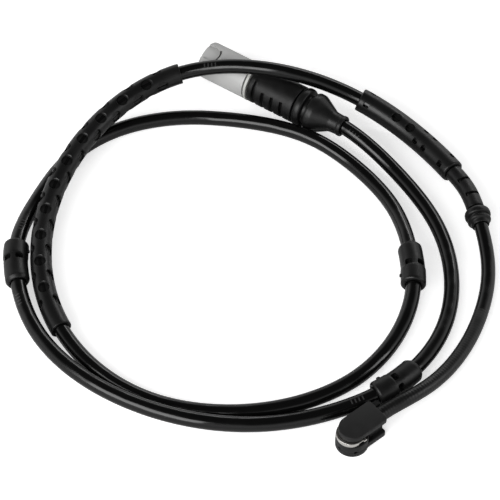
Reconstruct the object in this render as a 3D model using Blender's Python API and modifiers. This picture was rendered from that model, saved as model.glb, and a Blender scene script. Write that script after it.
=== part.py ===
"""Brake pad wear sensor: a probe head, a metre of looped cable and a round two-pole plug.

The sensor lies on the plane z = 0 as it comes to rest on a bench, with its loops of cable
beside and over each other. Lengths are in metres. Sections of the connector are given as
(station, radius), where a station is the distance back from the plug's front face. Places
along the cable are given as the distance from the jacket's end inside the boot.
"""
import math

import bmesh
import bpy
import numpy as np
from mathutils import Matrix, Vector

MM = 0.001
GAP = 0.3 * MM
OVERCUT = 2.0 * MM
ROUND_STEPS = 40
SMALL_ROUND_STEPS = 16
WIRE_ROUND_STEPS = 2
REST_GAP = 0.05 * MM

# Cable
CABLE_RADIUS = 2.5 * MM
TAIL_RADIUS = 2.3 * MM
CABLE_STEPS = 77
CABLE_RUN_IN_BOOT = 22.6 * MM
CABLE_RUN_IN_HEAD = 7.4 * MM
END_MARGIN = 0.4 * MM
ROUTE_MM = [
    (2.0, 58.9, 7.05), (20.2, 46.2, 7.05), (26.7, 40.3, 6.3), (35.3, 31.4, 3.9), (40.4, 24.4, 3.1),
    (50.0, 5.0, 2.6), (50.5, -33.2, 2.8), (38.7, -54.2, 4.2), (27.5, -63.3, 4.2), (18.4, -67.3, 3.2),
    (-22.6, -74.3, 4.7), (-78.4, -39.3, 4.4), (-85.5, -20.5, 4.2), (-87.2, -2.9, 4.2), (-82.1, 17.1, 2.7),
    (-69.9, 38.9, 2.6), (-52.9, 50.8, 2.6), (-12.1, 52.4, 3.1), (13.1, 40.6, 4.6), (19.8, 35.4, 3.7),
    (26.7, 28.2, 3), (34.5, 16.4, 2.7), (40.0, -4.6, 4.2), (40.5, -20.8, 4.2), (23.2, -54.3, 2.6),
    (-43.7, -63.7, 2.6), (-70.9, -37.9, 3.8), (-71.0, 31.3, 8.2), (-34.8, 65.3, 13.7), (0.0, 63.4, 16.2),
    (25.8, 57.9, 8.6), (56.1, 28.3, 4.3), (59.9, 21.3, 4.4), (63.0, 9.4, 4.6), (65.3, -9.5, 2.6),
    (62.0, -29.1, 2.5), (43.8, -59.8, 4.3), (37.0, -65.4, 5.2), (29.2, -70.5, 4.9), (23.45, -75.2, 4.8),
]

# Connector
CONNECTOR_FRONT = (-26.4 * MM, 78.8 * MM)
CONNECTOR_HEADING = math.radians(-35.0)
BOOT_RING_RADIUS = 7.0 * MM
CONNECTOR_HEIGHT = BOOT_RING_RADIUS + REST_GAP
PLUG_RADIUS = 6.6 * MM
PLUG_WALL = 1.7 * MM
PLUG_LENGTH = 18.9 * MM
PLUG_CHAMFER = 0.6 * MM
KEYWAY_WIDTH = 5.8 * MM
KEYWAY_LENGTH = 6.0 * MM
KEYWAY_FLOOR_RADIUS = 5.5 * MM
KEYWAY_TURN = math.radians(15.0)
CARRIER_FRONT = 1.0 * MM
CARRIER_LENGTH = 13.0 * MM
TERMINAL_RADIUS = 1.0 * MM
TERMINAL_BORE = 0.55 * MM
TERMINAL_BORE_DEPTH = 8.0 * MM
TERMINAL_SETBACK = 1.0 * MM
TERMINAL_LENGTH = 14.0 * MM
TERMINAL_OFFSET = 2.1 * MM
RIM_GAP = 0.5 * MM
RIM_THICKNESS = 1.0 * MM
RIM_PROUD = 0.1 * MM
BODY_RADIUS = 6.6 * MM
BODY_LENGTH = 18.0 * MM
BODY_CHAMFER = 0.4 * MM
BODY_BORE = 3.7 * MM
GRIP_GROOVES = (23.4 * MM, 27.2 * MM, 31.0 * MM, 34.8 * MM)
GRIP_GROOVE_WIDTH = 0.9 * MM
GRIP_GROOVE_DEPTH = 1.0 * MM
GRIP_FLAT_HEIGHT = 3.8 * MM
CORE_RADIUS = 0.8 * MM
CORE_SPREAD_IN_JACKET = 1.15 * MM
CORE_BEND_STEPS = 7
SEAL_START = 21.0 * MM
SEAL_LENGTH = 5.6 * MM
SEAL_RIB_DEPTH = 0.3 * MM
SEAL_RIB_STEPS = 7
BOOT_SPIGOT_RADIUS = 4.7 * MM
BOOT_SPIGOT_LENGTH = 7.7 * MM
BOOT_SHOULDER_RADIUS = 6.9 * MM
BOOT_GROOVE_RADIUS = 5.8 * MM
BOOT_NECK_RADIUS = 3.7 * MM
BOOT_TIP_RADIUS = 3.5 * MM
BOOT_RING_LENGTH = 3.2 * MM
BOOT_GROOVE_LENGTH = 1.6 * MM
BOOT_SHOULDER_LENGTH = 2.8 * MM
BOOT_CONE_LENGTH = 5.6 * MM
BOOT_EDGE = 0.5 * MM
BOOT_LENGTH = 17.7 * MM
JACKET_IN_BOOT = 34.7 * MM

# Pieces on the cable
CLIP_RADIUS = 4.1 * MM
CLIP_LENGTH = 16.0 * MM
CLIP_CENTRES = (301.0 * MM, 509.0 * MM, 144.5 * MM)
CLIP_WINDOW_LENGTH = 1.7 * MM
CLIP_WINDOW_WIDTH = 2.2 * MM
CLIP_WINDOW_TURNS = ((68.0, 130.0), (67.0, 129.0), (88.0, 150.0))
VENTED_START = 665.0 * MM
VENTED_LENGTH = 123.0 * MM
VENTED_RADIUS = 3.5 * MM
VENTED_WALL = 0.7 * MM
VENT_RADIUS = 1.9 * MM
VENT_PITCH = 8.9 * MM
VENT_PLAIN_END = 13.0 * MM
VENTS_ROUND = 3
VENT_STEPS = 10
VENT_OVERCUT = 1.0 * MM
VENT_LEAN_START = math.radians(10.0)
VENT_LEAN_END = math.radians(-24.0)
GUIDE_START = 851.7 * MM
GUIDE_LENGTH = 43.3 * MM
GUIDE_RADIUS = 4.0 * MM
GUIDE_WINDOWS = (2.9 * MM, 26.4 * MM, 30.4 * MM, 38.9 * MM)
GUIDE_WINDOW_SIZE = 1.8 * MM
GUIDE_WINDOWS_ROUND = 4
GUIDE_WINDOW_TURN = math.radians(39.0)
GUIDE_HOLES = (15.3 * MM, 21.7 * MM)
GUIDE_HOLE_RADIUS = 1.7 * MM
GUIDE_HOLE_TURN = math.radians(74.0)
PROTECTOR_LENGTH = 17.9 * MM
PROTECTOR_WALL = 0.4 * MM
PROTECTOR_GAP = 0.25 * MM
GROMMET_STANDOFF = 0.8 * MM
GROMMET_LENGTH = 6.2 * MM
GROMMET_RADIUS = 4.3 * MM
GROMMET_FLANGE_LENGTH = 2.9 * MM
GROMMET_GROOVE_LENGTH = 0.8 * MM
GROMMET_RIDGE_LENGTH = 1.1 * MM
GROMMET_EDGE = 0.4 * MM
GROMMET_GROOVE_RADIUS = 3.3 * MM
GROMMET_RIDGE_RADIUS = 3.9 * MM
GROMMET_TIP_RADIUS = 3.1 * MM

# Probe head, measured from the centre of its round end
HEAD_CENTRE = (19.2 * MM, -78.7 * MM)
HEAD_HEADING = math.radians(39.4)
HEAD_RADIUS = 5.1 * MM
HEAD_DECK = 5.4 * MM
TAIL_LENGTH = 10.0 * MM
TAIL_THICKNESS = 2.1 * MM
TAIL_HALF_WIDTH = 4.3 * MM
BLOCK_START = 4.2 * MM
BLOCK_LENGTH = 5.6 * MM
BLOCK_HALF_WIDTH = 3.0 * MM
SPRING_THICKNESS = 0.5 * MM
SPRING_RADIUS = 4.5 * MM
SPRING_NOSE_SHIFT = 0.6 * MM
SPRING_ARM_END = 7.5 * MM
SPRING_ARM_HALF_WIDTH = 4.1 * MM
SPRING_TAB = (0.4 * MM, 1.5 * MM)
SPRING_TAB_REACH = 4.95 * MM
COVER_RADIUS = 4.3 * MM
COVER_LENGTH = 10.4 * MM
COVER_CORNER = 1.0 * MM
COVER_THICKNESS = 2.1 * MM
COVER_EDGE = 0.35 * MM
STEM_RADIUS = 2.6 * MM
POCKET_FLOOR = 1.4 * MM
CABLE_HEIGHT_IN_HEAD = 4.8 * MM
CABLE_END_IN_HEAD = 5.5 * MM
LOOP_RADIUS = 0.4 * MM
LOOP_HALF_WIDTH = 0.85 * MM
LOOP_NOSE = 1.6 * MM
WIRE_SLOT_HALF_WIDTH = 1.6 * MM
PROBE_HOLE_RADIUS = 0.55 * MM
PROBE_HOLE_DEPTH = 1.5 * MM
PROBE_HOLE_HEIGHT = 2.0 * MM
PROBE_HOLE_TURNS = (math.radians(-118.0), math.radians(180.0))

# Heights and stations that follow from the sizes above
TAIL_BORE = TAIL_RADIUS + GAP
CABLE_BORE = CABLE_RADIUS + GAP
PLUG_BORE = PLUG_RADIUS - PLUG_WALL
CARRIER_RADIUS = PLUG_BORE - GAP
CARRIER_REAR = CARRIER_FRONT + CARRIER_LENGTH
TERMINAL_FRONT = CARRIER_FRONT + TERMINAL_SETBACK
TERMINAL_REAR = TERMINAL_FRONT + TERMINAL_LENGTH
SPIGOT_FRONT = CARRIER_REAR + GAP
RIM_FRONT = PLUG_LENGTH + RIM_GAP
BODY_FRONT = RIM_FRONT + RIM_THICKNESS + RIM_GAP
BODY_REAR = BODY_FRONT + BODY_LENGTH
BOOT_FRONT = BODY_REAR + GAP
BOOT_SPIGOT_FRONT = BOOT_FRONT - BOOT_SPIGOT_LENGTH
BOOT_REAR = BOOT_FRONT + BOOT_LENGTH
SPRING_BASE = HEAD_DECK + GAP
SPRING_TOP = SPRING_BASE + SPRING_THICKNESS
COVER_BASE = SPRING_TOP + GAP
COVER_TOP = COVER_BASE + COVER_THICKNESS
BLOCK_TOP = COVER_BASE - GAP
POCKET_RADIUS = STEM_RADIUS + GAP
LOOP_HEIGHT = POCKET_FLOOR + GAP + LOOP_RADIUS
STEM_BASE = LOOP_HEIGHT + LOOP_RADIUS + GAP
WIRE_SLOT_TOP = CABLE_HEIGHT_IN_HEAD - LOOP_RADIUS


def collection(name):
    """Make a collection under the scene."""
    made = bpy.data.collections.new(name)
    bpy.context.scene.collection.children.link(made)
    return made


def finish(name, colour, roughness, metallic=0.0):
    """Make a material from a linear colour, a roughness and a metallic value."""
    made = bpy.data.materials.new(name)
    made.use_nodes = True
    shader = made.node_tree.nodes["Principled BSDF"]
    shader.inputs["Base Color"].default_value = (*colour, 1.0)
    shader.inputs["Roughness"].default_value = roughness
    shader.inputs["Metallic"].default_value = metallic
    return made


def place(thing, group, material=None, parent=None):
    """Link an object to a collection and give it its material and parent."""
    group.objects.link(thing)
    if material:
        thing.data.materials.append(material)
    if parent:
        thing.parent = parent
    return thing


def as_tool(thing, parent=None):
    """Mark an object as a cutter or a lump to be joined, which isn't a piece itself."""
    place(thing, TOOLS, parent=parent)
    thing.hide_render = True
    thing.display_type = "WIRE"
    return thing


def combine(target, tool, operation):
    """Cut the tool out of the target, or join it on."""
    change = target.modifiers.new(f"{operation.lower()} {tool.name}", "BOOLEAN")
    change.operation = operation
    change.solver = "EXACT"
    change.object = tool


def mesh_object(name, work, smooth=True):
    """Turn a bmesh into an object."""
    mesh = bpy.data.meshes.new(name)
    work.to_mesh(mesh)
    work.free()
    if smooth:
        mesh.shade_smooth()
        mesh.set_sharp_from_angle(angle=math.radians(35.0))
    return bpy.data.objects.new(name, mesh)


def box(name, low, high):
    """Make a box between two corners."""
    work = bmesh.new()
    size = [b - a for a, b in zip(low, high)]
    middle = [(a + b) / 2 for a, b in zip(low, high)]
    bmesh.ops.create_cube(work, size=1.0, matrix=Matrix.LocRotScale(middle, None, size))
    return mesh_object(name, work, smooth=False)


def add_rod(work, start, direction, length, radius, sides):
    """Add a capped cylinder that begins at start and runs along direction."""
    turn = Vector(direction).to_track_quat("Z", "Y").to_matrix().to_4x4()
    middle = Vector(start) + Vector(direction).normalized() * length / 2
    bmesh.ops.create_cone(
        work, cap_ends=True, segments=sides, radius1=radius, radius2=radius, depth=length,
        matrix=Matrix.Translation(middle) @ turn,
    )


def rod(name, start, direction, length, radius, sides=ROUND_STEPS):
    """Make a capped cylinder."""
    work = bmesh.new()
    add_rod(work, start, direction, length, radius, sides)
    return mesh_object(name, work)


def turned(name, outside, inside=(), steps=ROUND_STEPS):
    """Turn a section about the local X axis.

    Both lists hold (station, radius) from front to rear. The section runs down the outside
    from the rear to the front and back through the bore. It closes on the axis where there
    is no bore, or where the bore ends at radius 0.
    """
    section = list(reversed(outside)) + list(inside)
    through = bool(inside) and inside[-1][1] > 0
    if not through:
        section.insert(0, (outside[-1][0], 0.0))
    if not inside:
        section.append((outside[0][0], 0.0))
    work = bmesh.new()
    corners = [work.verts.new((station, radius, 0.0)) for station, radius in section]
    for first, second in zip(corners, corners[1:]):
        work.edges.new((first, second))
    if through:
        work.edges.new((corners[-1], corners[0]))
    piece = mesh_object(name, work, smooth=False)
    screw = piece.modifiers.new("turn", "SCREW")
    screw.axis = "X"
    screw.steps = steps
    screw.render_steps = steps
    screw.use_merge_vertices = True
    screw.merge_threshold = 0.00001
    return piece


def arc(centre, radius, start, end, steps):
    """Points of a circular arc from one angle to another, both in degrees."""
    angles = [math.radians(start + (end - start) * i / steps) for i in range(steps + 1)]
    return [(centre[0] + radius * math.cos(a), centre[1] + radius * math.sin(a)) for a in angles]


def curve_to_mesh(thing, name):
    """Replace a curve by its evaluated mesh with the caps welded on."""
    place(thing, TOOLS)
    bpy.context.view_layer.update()
    evaluated = thing.evaluated_get(bpy.context.evaluated_depsgraph_get())
    mesh = bpy.data.meshes.new_from_object(evaluated)
    work = bmesh.new()
    work.from_mesh(mesh)
    bmesh.ops.remove_doubles(work, verts=work.verts, dist=0.000001)
    bpy.data.meshes.remove(mesh)
    piece = mesh_object(name, work)
    piece.matrix_world = thing.matrix_world.copy()
    bpy.data.objects.remove(thing)
    return piece


def plate(name, outline, low, high):
    """Make a flat plate from a closed outline in the XY plane."""
    curve = bpy.data.curves.new(name, "CURVE")
    curve.dimensions = "2D"
    curve.fill_mode = "BOTH"
    curve.extrude = (high - low) / 2
    spline = curve.splines.new("POLY")
    spline.points.add(len(outline) - 1)
    for point, (x, y) in zip(spline.points, outline):
        point.co = (x, y, 0.0, 1.0)
    spline.use_cyclic_u = True
    thing = bpy.data.objects.new(f"{name} outline", curve)
    thing.location.z = (high + low) / 2
    return curve_to_mesh(thing, name)


def tube(name, points, radius, resolution, capped=True, swell=None):
    """Make a round tube on a run of points; swell scales the radius at each point."""
    curve = bpy.data.curves.new(name, "CURVE")
    curve.dimensions = "3D"
    curve.bevel_depth = radius
    curve.bevel_resolution = resolution
    curve.use_fill_caps = capped
    spline = curve.splines.new("POLY")
    spline.points.add(len(points) - 1)
    for i, point in enumerate(points):
        spline.points[i].co = (*point, 1.0)
        spline.points[i].radius = swell[i] if swell else 1.0
    return bpy.data.objects.new(name, curve)


class Route:
    """The cable's centreline: a smooth curve through the chosen points.

    It is straight in the boot and in the head, and read at even steps between them.
    """

    def __init__(self, chosen, count):
        fine = self.spline(np.array(chosen), 12)
        steps = np.linalg.norm(np.diff(fine, axis=0), axis=1)
        along = np.concatenate([[0.0], np.cumsum(steps)])
        self.length = float(along[-1])
        free = np.linspace(CABLE_RUN_IN_BOOT, self.length - CABLE_RUN_IN_HEAD, count)
        self.stations = np.concatenate([[0.0], free, [self.length]])
        self.points = np.stack([np.interp(self.stations, along, fine[:, k]) for k in range(3)], axis=1)
        resting = [TAIL_RADIUS if s > GUIDE_START + GUIDE_LENGTH else CABLE_RADIUS for s in self.stations]
        self.points[:, 2] = np.maximum(self.points[:, 2], resting)

    @staticmethod
    def spline(knots, per_mm):
        """Natural cubic spline through the knots."""
        steps = np.linalg.norm(np.diff(knots, axis=0), axis=1)
        at = np.concatenate([[0.0], np.cumsum(steps)])
        system = np.eye(len(knots))
        target = np.zeros_like(knots)
        for i in range(1, len(knots) - 1):
            system[i, i - 1:i + 2] = steps[i - 1], 2 * (steps[i - 1] + steps[i]), steps[i]
            target[i] = 6 * ((knots[i + 1] - knots[i]) / steps[i] - (knots[i] - knots[i - 1]) / steps[i - 1])
        bend = np.linalg.solve(system, target)
        where = np.linspace(0.0, at[-1], int(at[-1] / MM * per_mm))
        cell = np.clip(np.searchsorted(at, where, side="right") - 1, 0, len(steps) - 1)
        left = (where - at[cell])[:, None]
        right = (at[cell + 1] - where)[:, None]
        step = steps[cell][:, None]
        return (
            (bend[cell] * right ** 3 + bend[cell + 1] * left ** 3) / (6 * step)
            + (knots[cell] / step - bend[cell] * step / 6) * right
            + (knots[cell + 1] / step - bend[cell + 1] * step / 6) * left
        )

    def at(self, station):
        """The point at a station."""
        return Vector([float(np.interp(station, self.stations, self.points[:, k])) for k in range(3)])

    def frame(self, station):
        """Point, direction, side and up at a station; side is to the right of the direction."""
        step = 1.0 * MM
        along = (self.at(station + step) - self.at(station - step)).normalized()
        side = along.cross(Vector((0.0, 0.0, 1.0))).normalized()
        return self.at(station), along, side, side.cross(along)

    def between(self, start, end):
        """The run of points from one station to another."""
        inner = [s for s in self.stations if start + END_MARGIN < s < end - END_MARGIN]
        return [self.at(s) for s in (start, *inner, end)]


def sleeve(name, route, start, length, radius, wall, resolution=6):
    """Make an open tube that sits round the cable, as an outer skin with a wall inside it."""
    skin = tube(f"{name} skin", route.between(start, start + length), radius, resolution, capped=False)
    piece = curve_to_mesh(skin, name)
    wall_change = piece.modifiers.new("wall", "SOLIDIFY")
    wall_change.thickness = wall
    wall_change.offset = -1.0
    wall_change.use_even_offset = True
    return piece


def add_rods_round(work, route, station, turns, reach, radius):
    """Add one radial rod at each angle round the cable at a station."""
    point, _, side, up = route.frame(station)
    for turn in turns:
        outward = side * math.cos(turn) + up * math.sin(turn)
        add_rod(work, point + outward * reach[0], outward, reach[1] - reach[0], radius, VENT_STEPS)


def add_window(work, frame, turn, radius, size):
    """Add the cutter of one window through a sleeve's wall; size is along the cable and across."""
    point, along, side, up = frame
    outward = side * math.cos(turn) + up * math.sin(turn)
    middle = point + outward * (CABLE_BORE + radius) / 2
    turned_frame = Matrix((along, outward.cross(along), outward)).transposed().to_4x4()
    scale = Matrix.Diagonal((*size, radius - CABLE_BORE + OVERCUT, 1.0))
    bmesh.ops.create_cube(work, size=1.0, matrix=Matrix.Translation(middle) @ turned_frame @ scale)


def connector_pieces(group, mats):
    """The plug, its insert and terminals, the body, the seal, the cores and the boot."""
    seat = bpy.data.objects.new("connector seat", None)
    group.objects.link(seat)
    seat.location = (*CONNECTOR_FRONT, CONNECTOR_HEIGHT)
    seat.rotation_euler = (0.0, 0.0, CONNECTOR_HEADING)
    housing = turned(
        "plug_housing",
        [(0.0, PLUG_RADIUS - PLUG_CHAMFER), (PLUG_CHAMFER, PLUG_RADIUS), (PLUG_LENGTH, PLUG_RADIUS)],
        [(0.0, PLUG_BORE), (PLUG_LENGTH, PLUG_BORE)],
    )
    place(housing, group, mats["grey plug"], seat)
    half = KEYWAY_WIDTH / 2
    outline = [(-OVERCUT, -half)] + arc((KEYWAY_LENGTH - half, 0.0), half, -90, 90, 20) + [(-OVERCUT, half)]
    keyway = plate("keyway", outline, half / 2, PLUG_RADIUS + OVERCUT)
    keyway.matrix_world = Matrix.Rotation(KEYWAY_TURN, 4, "X") @ keyway.matrix_world
    floor = rod(
        "keyway floor", (-2 * OVERCUT, 0.0, 0.0), (1, 0, 0), KEYWAY_LENGTH + 4 * OVERCUT, KEYWAY_FLOOR_RADIUS,
    )
    combine(keyway, as_tool(floor, seat), "DIFFERENCE")
    combine(housing, as_tool(keyway, seat), "DIFFERENCE")

    carrier = turned("terminal_carrier", [(CARRIER_FRONT, CARRIER_RADIUS), (CARRIER_REAR, CARRIER_RADIUS)])
    place(carrier, group, mats["grey insert"], seat)
    for index, side in enumerate((-1, 1), start=1):
        offset = side * TERMINAL_OFFSET
        well = rod(
            f"terminal well {index}", (CARRIER_FRONT - OVERCUT, offset, 0.0), (1, 0, 0),
            CARRIER_LENGTH + 2 * OVERCUT, TERMINAL_RADIUS + GAP, SMALL_ROUND_STEPS,
        )
        combine(carrier, as_tool(well, seat), "DIFFERENCE")
        lead_in = TERMINAL_RADIUS - TERMINAL_BORE
        terminal = turned(
            f"terminal_{index}",
            [(TERMINAL_FRONT, TERMINAL_RADIUS - lead_in / 2), (TERMINAL_FRONT + lead_in / 2, TERMINAL_RADIUS),
             (TERMINAL_REAR, TERMINAL_RADIUS)],
            [(TERMINAL_FRONT, TERMINAL_BORE), (TERMINAL_FRONT + TERMINAL_BORE_DEPTH, TERMINAL_BORE),
             (TERMINAL_FRONT + TERMINAL_BORE_DEPTH, 0.0)],
            steps=SMALL_ROUND_STEPS,
        )
        place(terminal, group, mats["tinned terminal"], seat)
        terminal.location.y = offset
        core = tube(f"core_wire_{index}", core_points(side), CORE_RADIUS, WIRE_ROUND_STEPS)
        place(core, group, mats["core"], seat)

    rim = turned(
        "rim_ring",
        [(RIM_FRONT, PLUG_RADIUS + RIM_PROUD), (RIM_FRONT + RIM_THICKNESS, PLUG_RADIUS + RIM_PROUD)],
        [(RIM_FRONT, CARRIER_RADIUS + GAP), (RIM_FRONT + RIM_THICKNESS, CARRIER_RADIUS + GAP)],
    )
    place(rim, group, mats["pale seal"], seat)
    place(body_piece(seat), group, mats["black body"], seat)
    place(seal_piece(seat), group, mats["orange seal"], seat)
    place(boot_piece(), group, mats["black rubber"], seat)


def core_points(side):
    """One core's run, straight through the seal and then in towards the jacket."""
    start = TERMINAL_REAR + GAP
    bend_start = SEAL_START + SEAL_LENGTH + GAP
    end = JACKET_IN_BOOT - GAP
    run = [(start, side * TERMINAL_OFFSET, 0.0)]
    for i in range(CORE_BEND_STEPS):
        share = i / (CORE_BEND_STEPS - 1)
        blend = (1 - math.cos(math.pi * share)) / 2
        offset = TERMINAL_OFFSET + (CORE_SPREAD_IN_JACKET - TERMINAL_OFFSET) * blend
        run.append((bend_start + (end - bend_start) * share, side * offset, 0.0))
    return run


def body_piece(seat):
    """The black body with its spigot in the plug, a socket for the boot and grip grooves."""
    socket_front = BOOT_SPIGOT_FRONT - GAP
    socket_radius = BOOT_SPIGOT_RADIUS + GAP
    body = turned(
        "connector_body",
        [(SPIGOT_FRONT, CARRIER_RADIUS), (BODY_FRONT, CARRIER_RADIUS),
         (BODY_FRONT, BODY_RADIUS - BODY_CHAMFER), (BODY_FRONT + BODY_CHAMFER, BODY_RADIUS),
         (BODY_REAR - BODY_CHAMFER, BODY_RADIUS), (BODY_REAR, BODY_RADIUS - BODY_CHAMFER)],
        [(SPIGOT_FRONT, BODY_BORE), (socket_front, BODY_BORE), (socket_front, socket_radius),
         (BODY_REAR, socket_radius)],
    )
    crown = box(
        "grip crown", (0.0, -2 * BODY_RADIUS, GRIP_FLAT_HEIGHT),
        (BODY_REAR, 2 * BODY_RADIUS, 2 * BODY_RADIUS),
    )
    as_tool(crown, seat)
    for index, station in enumerate(GRIP_GROOVES):
        front = station - GRIP_GROOVE_WIDTH / 2
        rear = station + GRIP_GROOVE_WIDTH / 2
        floor_radius = BODY_RADIUS - GRIP_GROOVE_DEPTH
        ring = turned(
            f"grip groove {index}",
            [(front, BODY_RADIUS + OVERCUT), (rear, BODY_RADIUS + OVERCUT)],
            [(front, floor_radius), (rear, floor_radius)],
        )
        combine(ring, crown, "DIFFERENCE")
        combine(body, as_tool(ring, seat), "DIFFERENCE")
    return body


def seal_piece(seat):
    """The ribbed seal that the two cores pass through."""
    radius = BODY_BORE - GAP
    band = SEAL_LENGTH / SEAL_RIB_STEPS
    outside = []
    for i in range(SEAL_RIB_STEPS):
        height = radius if i % 2 == 0 else radius - SEAL_RIB_DEPTH
        outside += [(SEAL_START + band * i, height), (SEAL_START + band * (i + 1), height)]
    seal = turned("wire_seal", outside)
    for side in (-1, 1):
        hole = rod(
            f"core hole {side}", (SEAL_START - OVERCUT, side * TERMINAL_OFFSET, 0.0), (1, 0, 0),
            SEAL_LENGTH + 2 * OVERCUT, CORE_RADIUS + GAP, SMALL_ROUND_STEPS,
        )
        combine(seal, as_tool(hole, seat), "DIFFERENCE")
    return seal


def boot_piece():
    """The rubber boot: a spigot in the body, a round ring, a shoulder, a cone and a neck."""
    groove_start = BOOT_FRONT + BOOT_RING_LENGTH
    groove_end = groove_start + BOOT_GROOVE_LENGTH
    shoulder_end = groove_end + BOOT_SHOULDER_LENGTH
    cone_end = shoulder_end + BOOT_CONE_LENGTH
    half_ring = BOOT_RING_LENGTH / 2
    crest = BOOT_RING_RADIUS - BOOT_GROOVE_RADIUS
    outside = [(BOOT_SPIGOT_FRONT, BOOT_SPIGOT_RADIUS), (BOOT_FRONT, BOOT_SPIGOT_RADIUS)]
    for station, height in arc((BOOT_FRONT + half_ring, 0.0), half_ring, 180, 0, 8):
        outside.append((station, BOOT_GROOVE_RADIUS + crest * height / half_ring))
    outside += [
        (groove_end - BOOT_EDGE, BOOT_GROOVE_RADIUS), (groove_end, BOOT_SHOULDER_RADIUS - BOOT_EDGE / 2),
        (groove_end + BOOT_EDGE, BOOT_SHOULDER_RADIUS), (shoulder_end - BOOT_EDGE, BOOT_SHOULDER_RADIUS),
        (shoulder_end + BOOT_EDGE / 2, BOOT_SHOULDER_RADIUS - BOOT_EDGE / 2),
        (cone_end, BOOT_NECK_RADIUS), (BOOT_REAR, BOOT_TIP_RADIUS),
    ]
    return turned("cable_boot", outside, [(BOOT_SPIGOT_FRONT, CABLE_BORE), (BOOT_REAR, CABLE_BORE)])


def cable_pieces(group, mats, route):
    """The jacket and every piece that sits on it."""
    guide_end = GUIDE_START + GUIDE_LENGTH
    swell = [TAIL_RADIUS / CABLE_RADIUS if s > guide_end else 1.0 for s in route.stations]
    jacket = tube("cable_jacket", [tuple(p) for p in route.points], CABLE_RADIUS, 3, swell=swell)
    place(jacket, group, mats["cable"])

    for index, centre in enumerate(CLIP_CENTRES, start=1):
        clip = sleeve(
            f"cable_clip_{index}", route, centre - CLIP_LENGTH / 2, CLIP_LENGTH, CLIP_RADIUS,
            CLIP_RADIUS - CABLE_BORE,
        )
        place(clip, group, mats["black rubber"])
        work = bmesh.new()
        for turn in CLIP_WINDOW_TURNS[index - 1]:
            for opposite in (0.0, 180.0):
                add_window(
                    work, route.frame(centre), math.radians(turn + opposite), CLIP_RADIUS,
                    (CLIP_WINDOW_LENGTH, CLIP_WINDOW_WIDTH),
                )
        windows = mesh_object(f"clip windows {index}", work, smooth=False)
        combine(clip, as_tool(windows), "DIFFERENCE")

    vented = sleeve(
        "perforated_sleeve", route, VENTED_START, VENTED_LENGTH, VENTED_RADIUS, VENTED_WALL,
    )
    place(vented, group, mats["black sleeve"])
    combine(vented, as_tool(vent_tool(route)), "DIFFERENCE")

    guide = sleeve(
        "guide_sleeve", route, GUIDE_START, GUIDE_LENGTH, GUIDE_RADIUS, GUIDE_RADIUS - CABLE_BORE,
    )
    place(guide, group, mats["black sleeve"])
    combine(guide, as_tool(guide_window_tool(route)), "DIFFERENCE")

    protector_start = guide_end + GAP
    inner = TAIL_RADIUS + PROTECTOR_GAP
    protector = sleeve(
        "bend_protector", route, protector_start, PROTECTOR_LENGTH, inner + PROTECTOR_WALL, PROTECTOR_WALL,
        resolution=5,
    )
    place(protector, group, mats["black rubber"])
    grommet_start = protector_start + PROTECTOR_LENGTH + GROMMET_STANDOFF
    place(grommet_piece(route, grommet_start), group, mats["black rubber"])


def vent_tool(route):
    """All the vent holes of the perforated sleeve: rings of holes, each turned half a step."""
    work = bmesh.new()
    usable = VENTED_LENGTH - 2 * VENT_PLAIN_END
    rings = int(usable / (VENT_PITCH / 2)) + 1
    margin = (usable - (rings - 1) * VENT_PITCH / 2) / 2
    for ring in range(rings):
        station = VENTED_START + VENT_PLAIN_END + margin + ring * VENT_PITCH / 2
        share = ring / (rings - 1)
        lean = VENT_LEAN_START + (VENT_LEAN_END - VENT_LEAN_START) * share
        first = math.radians(90.0) + lean + (ring % 2) * math.pi / VENTS_ROUND
        turns = [first + 2 * math.pi * i / VENTS_ROUND for i in range(VENTS_ROUND)]
        reach = (VENTED_RADIUS - VENTED_WALL - VENT_OVERCUT, VENTED_RADIUS + VENT_OVERCUT)
        add_rods_round(work, route, station, turns, reach, VENT_RADIUS)
    return mesh_object("vent holes", work)


def guide_window_tool(route):
    """The square windows of the guide sleeve, four round each ring, and its round holes."""
    work = bmesh.new()
    for offset in GUIDE_WINDOWS:
        for i in range(GUIDE_WINDOWS_ROUND):
            turn = GUIDE_WINDOW_TURN + 2 * math.pi * i / GUIDE_WINDOWS_ROUND
            size = (GUIDE_WINDOW_SIZE, GUIDE_WINDOW_SIZE)
            add_window(work, route.frame(GUIDE_START + offset), turn, GUIDE_RADIUS, size)
    for offset in GUIDE_HOLES:
        reach = (CABLE_RADIUS, GUIDE_RADIUS + VENT_OVERCUT)
        turns = (GUIDE_HOLE_TURN, GUIDE_HOLE_TURN + math.pi)
        add_rods_round(work, route, GUIDE_START + offset, turns, reach, GUIDE_HOLE_RADIUS)
    return mesh_object("guide windows", work, smooth=False)


def grommet_piece(route, start):
    """The rubber grommet: a big flange, a groove for the bracket, a ridge and a tip."""
    flange_end = GROMMET_FLANGE_LENGTH
    groove_end = flange_end + GROMMET_GROOVE_LENGTH
    ridge_end = groove_end + GROMMET_RIDGE_LENGTH
    edge = GROMMET_EDGE
    grommet = turned(
        "grommet",
        [(0.0, GROMMET_RADIUS - edge), (edge, GROMMET_RADIUS), (flange_end - edge, GROMMET_RADIUS),
         (flange_end, GROMMET_RADIUS - edge), (flange_end, GROMMET_GROOVE_RADIUS),
         (groove_end, GROMMET_GROOVE_RADIUS), (groove_end, GROMMET_RIDGE_RADIUS),
         (ridge_end, GROMMET_RIDGE_RADIUS), (ridge_end, GROMMET_TIP_RADIUS),
         (GROMMET_LENGTH, GROMMET_TIP_RADIUS)],
        [(0.0, TAIL_BORE), (GROMMET_LENGTH, TAIL_BORE)],
    )
    first = route.at(start)
    along = (route.at(start + GROMMET_LENGTH) - first).normalized()
    side = along.cross(Vector((0.0, 0.0, 1.0))).normalized()
    up = side.cross(along)
    turn = Matrix((along, up.cross(along), up)).transposed().to_4x4()
    grommet.matrix_world = Matrix.Translation(first) @ turn
    return grommet


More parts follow.
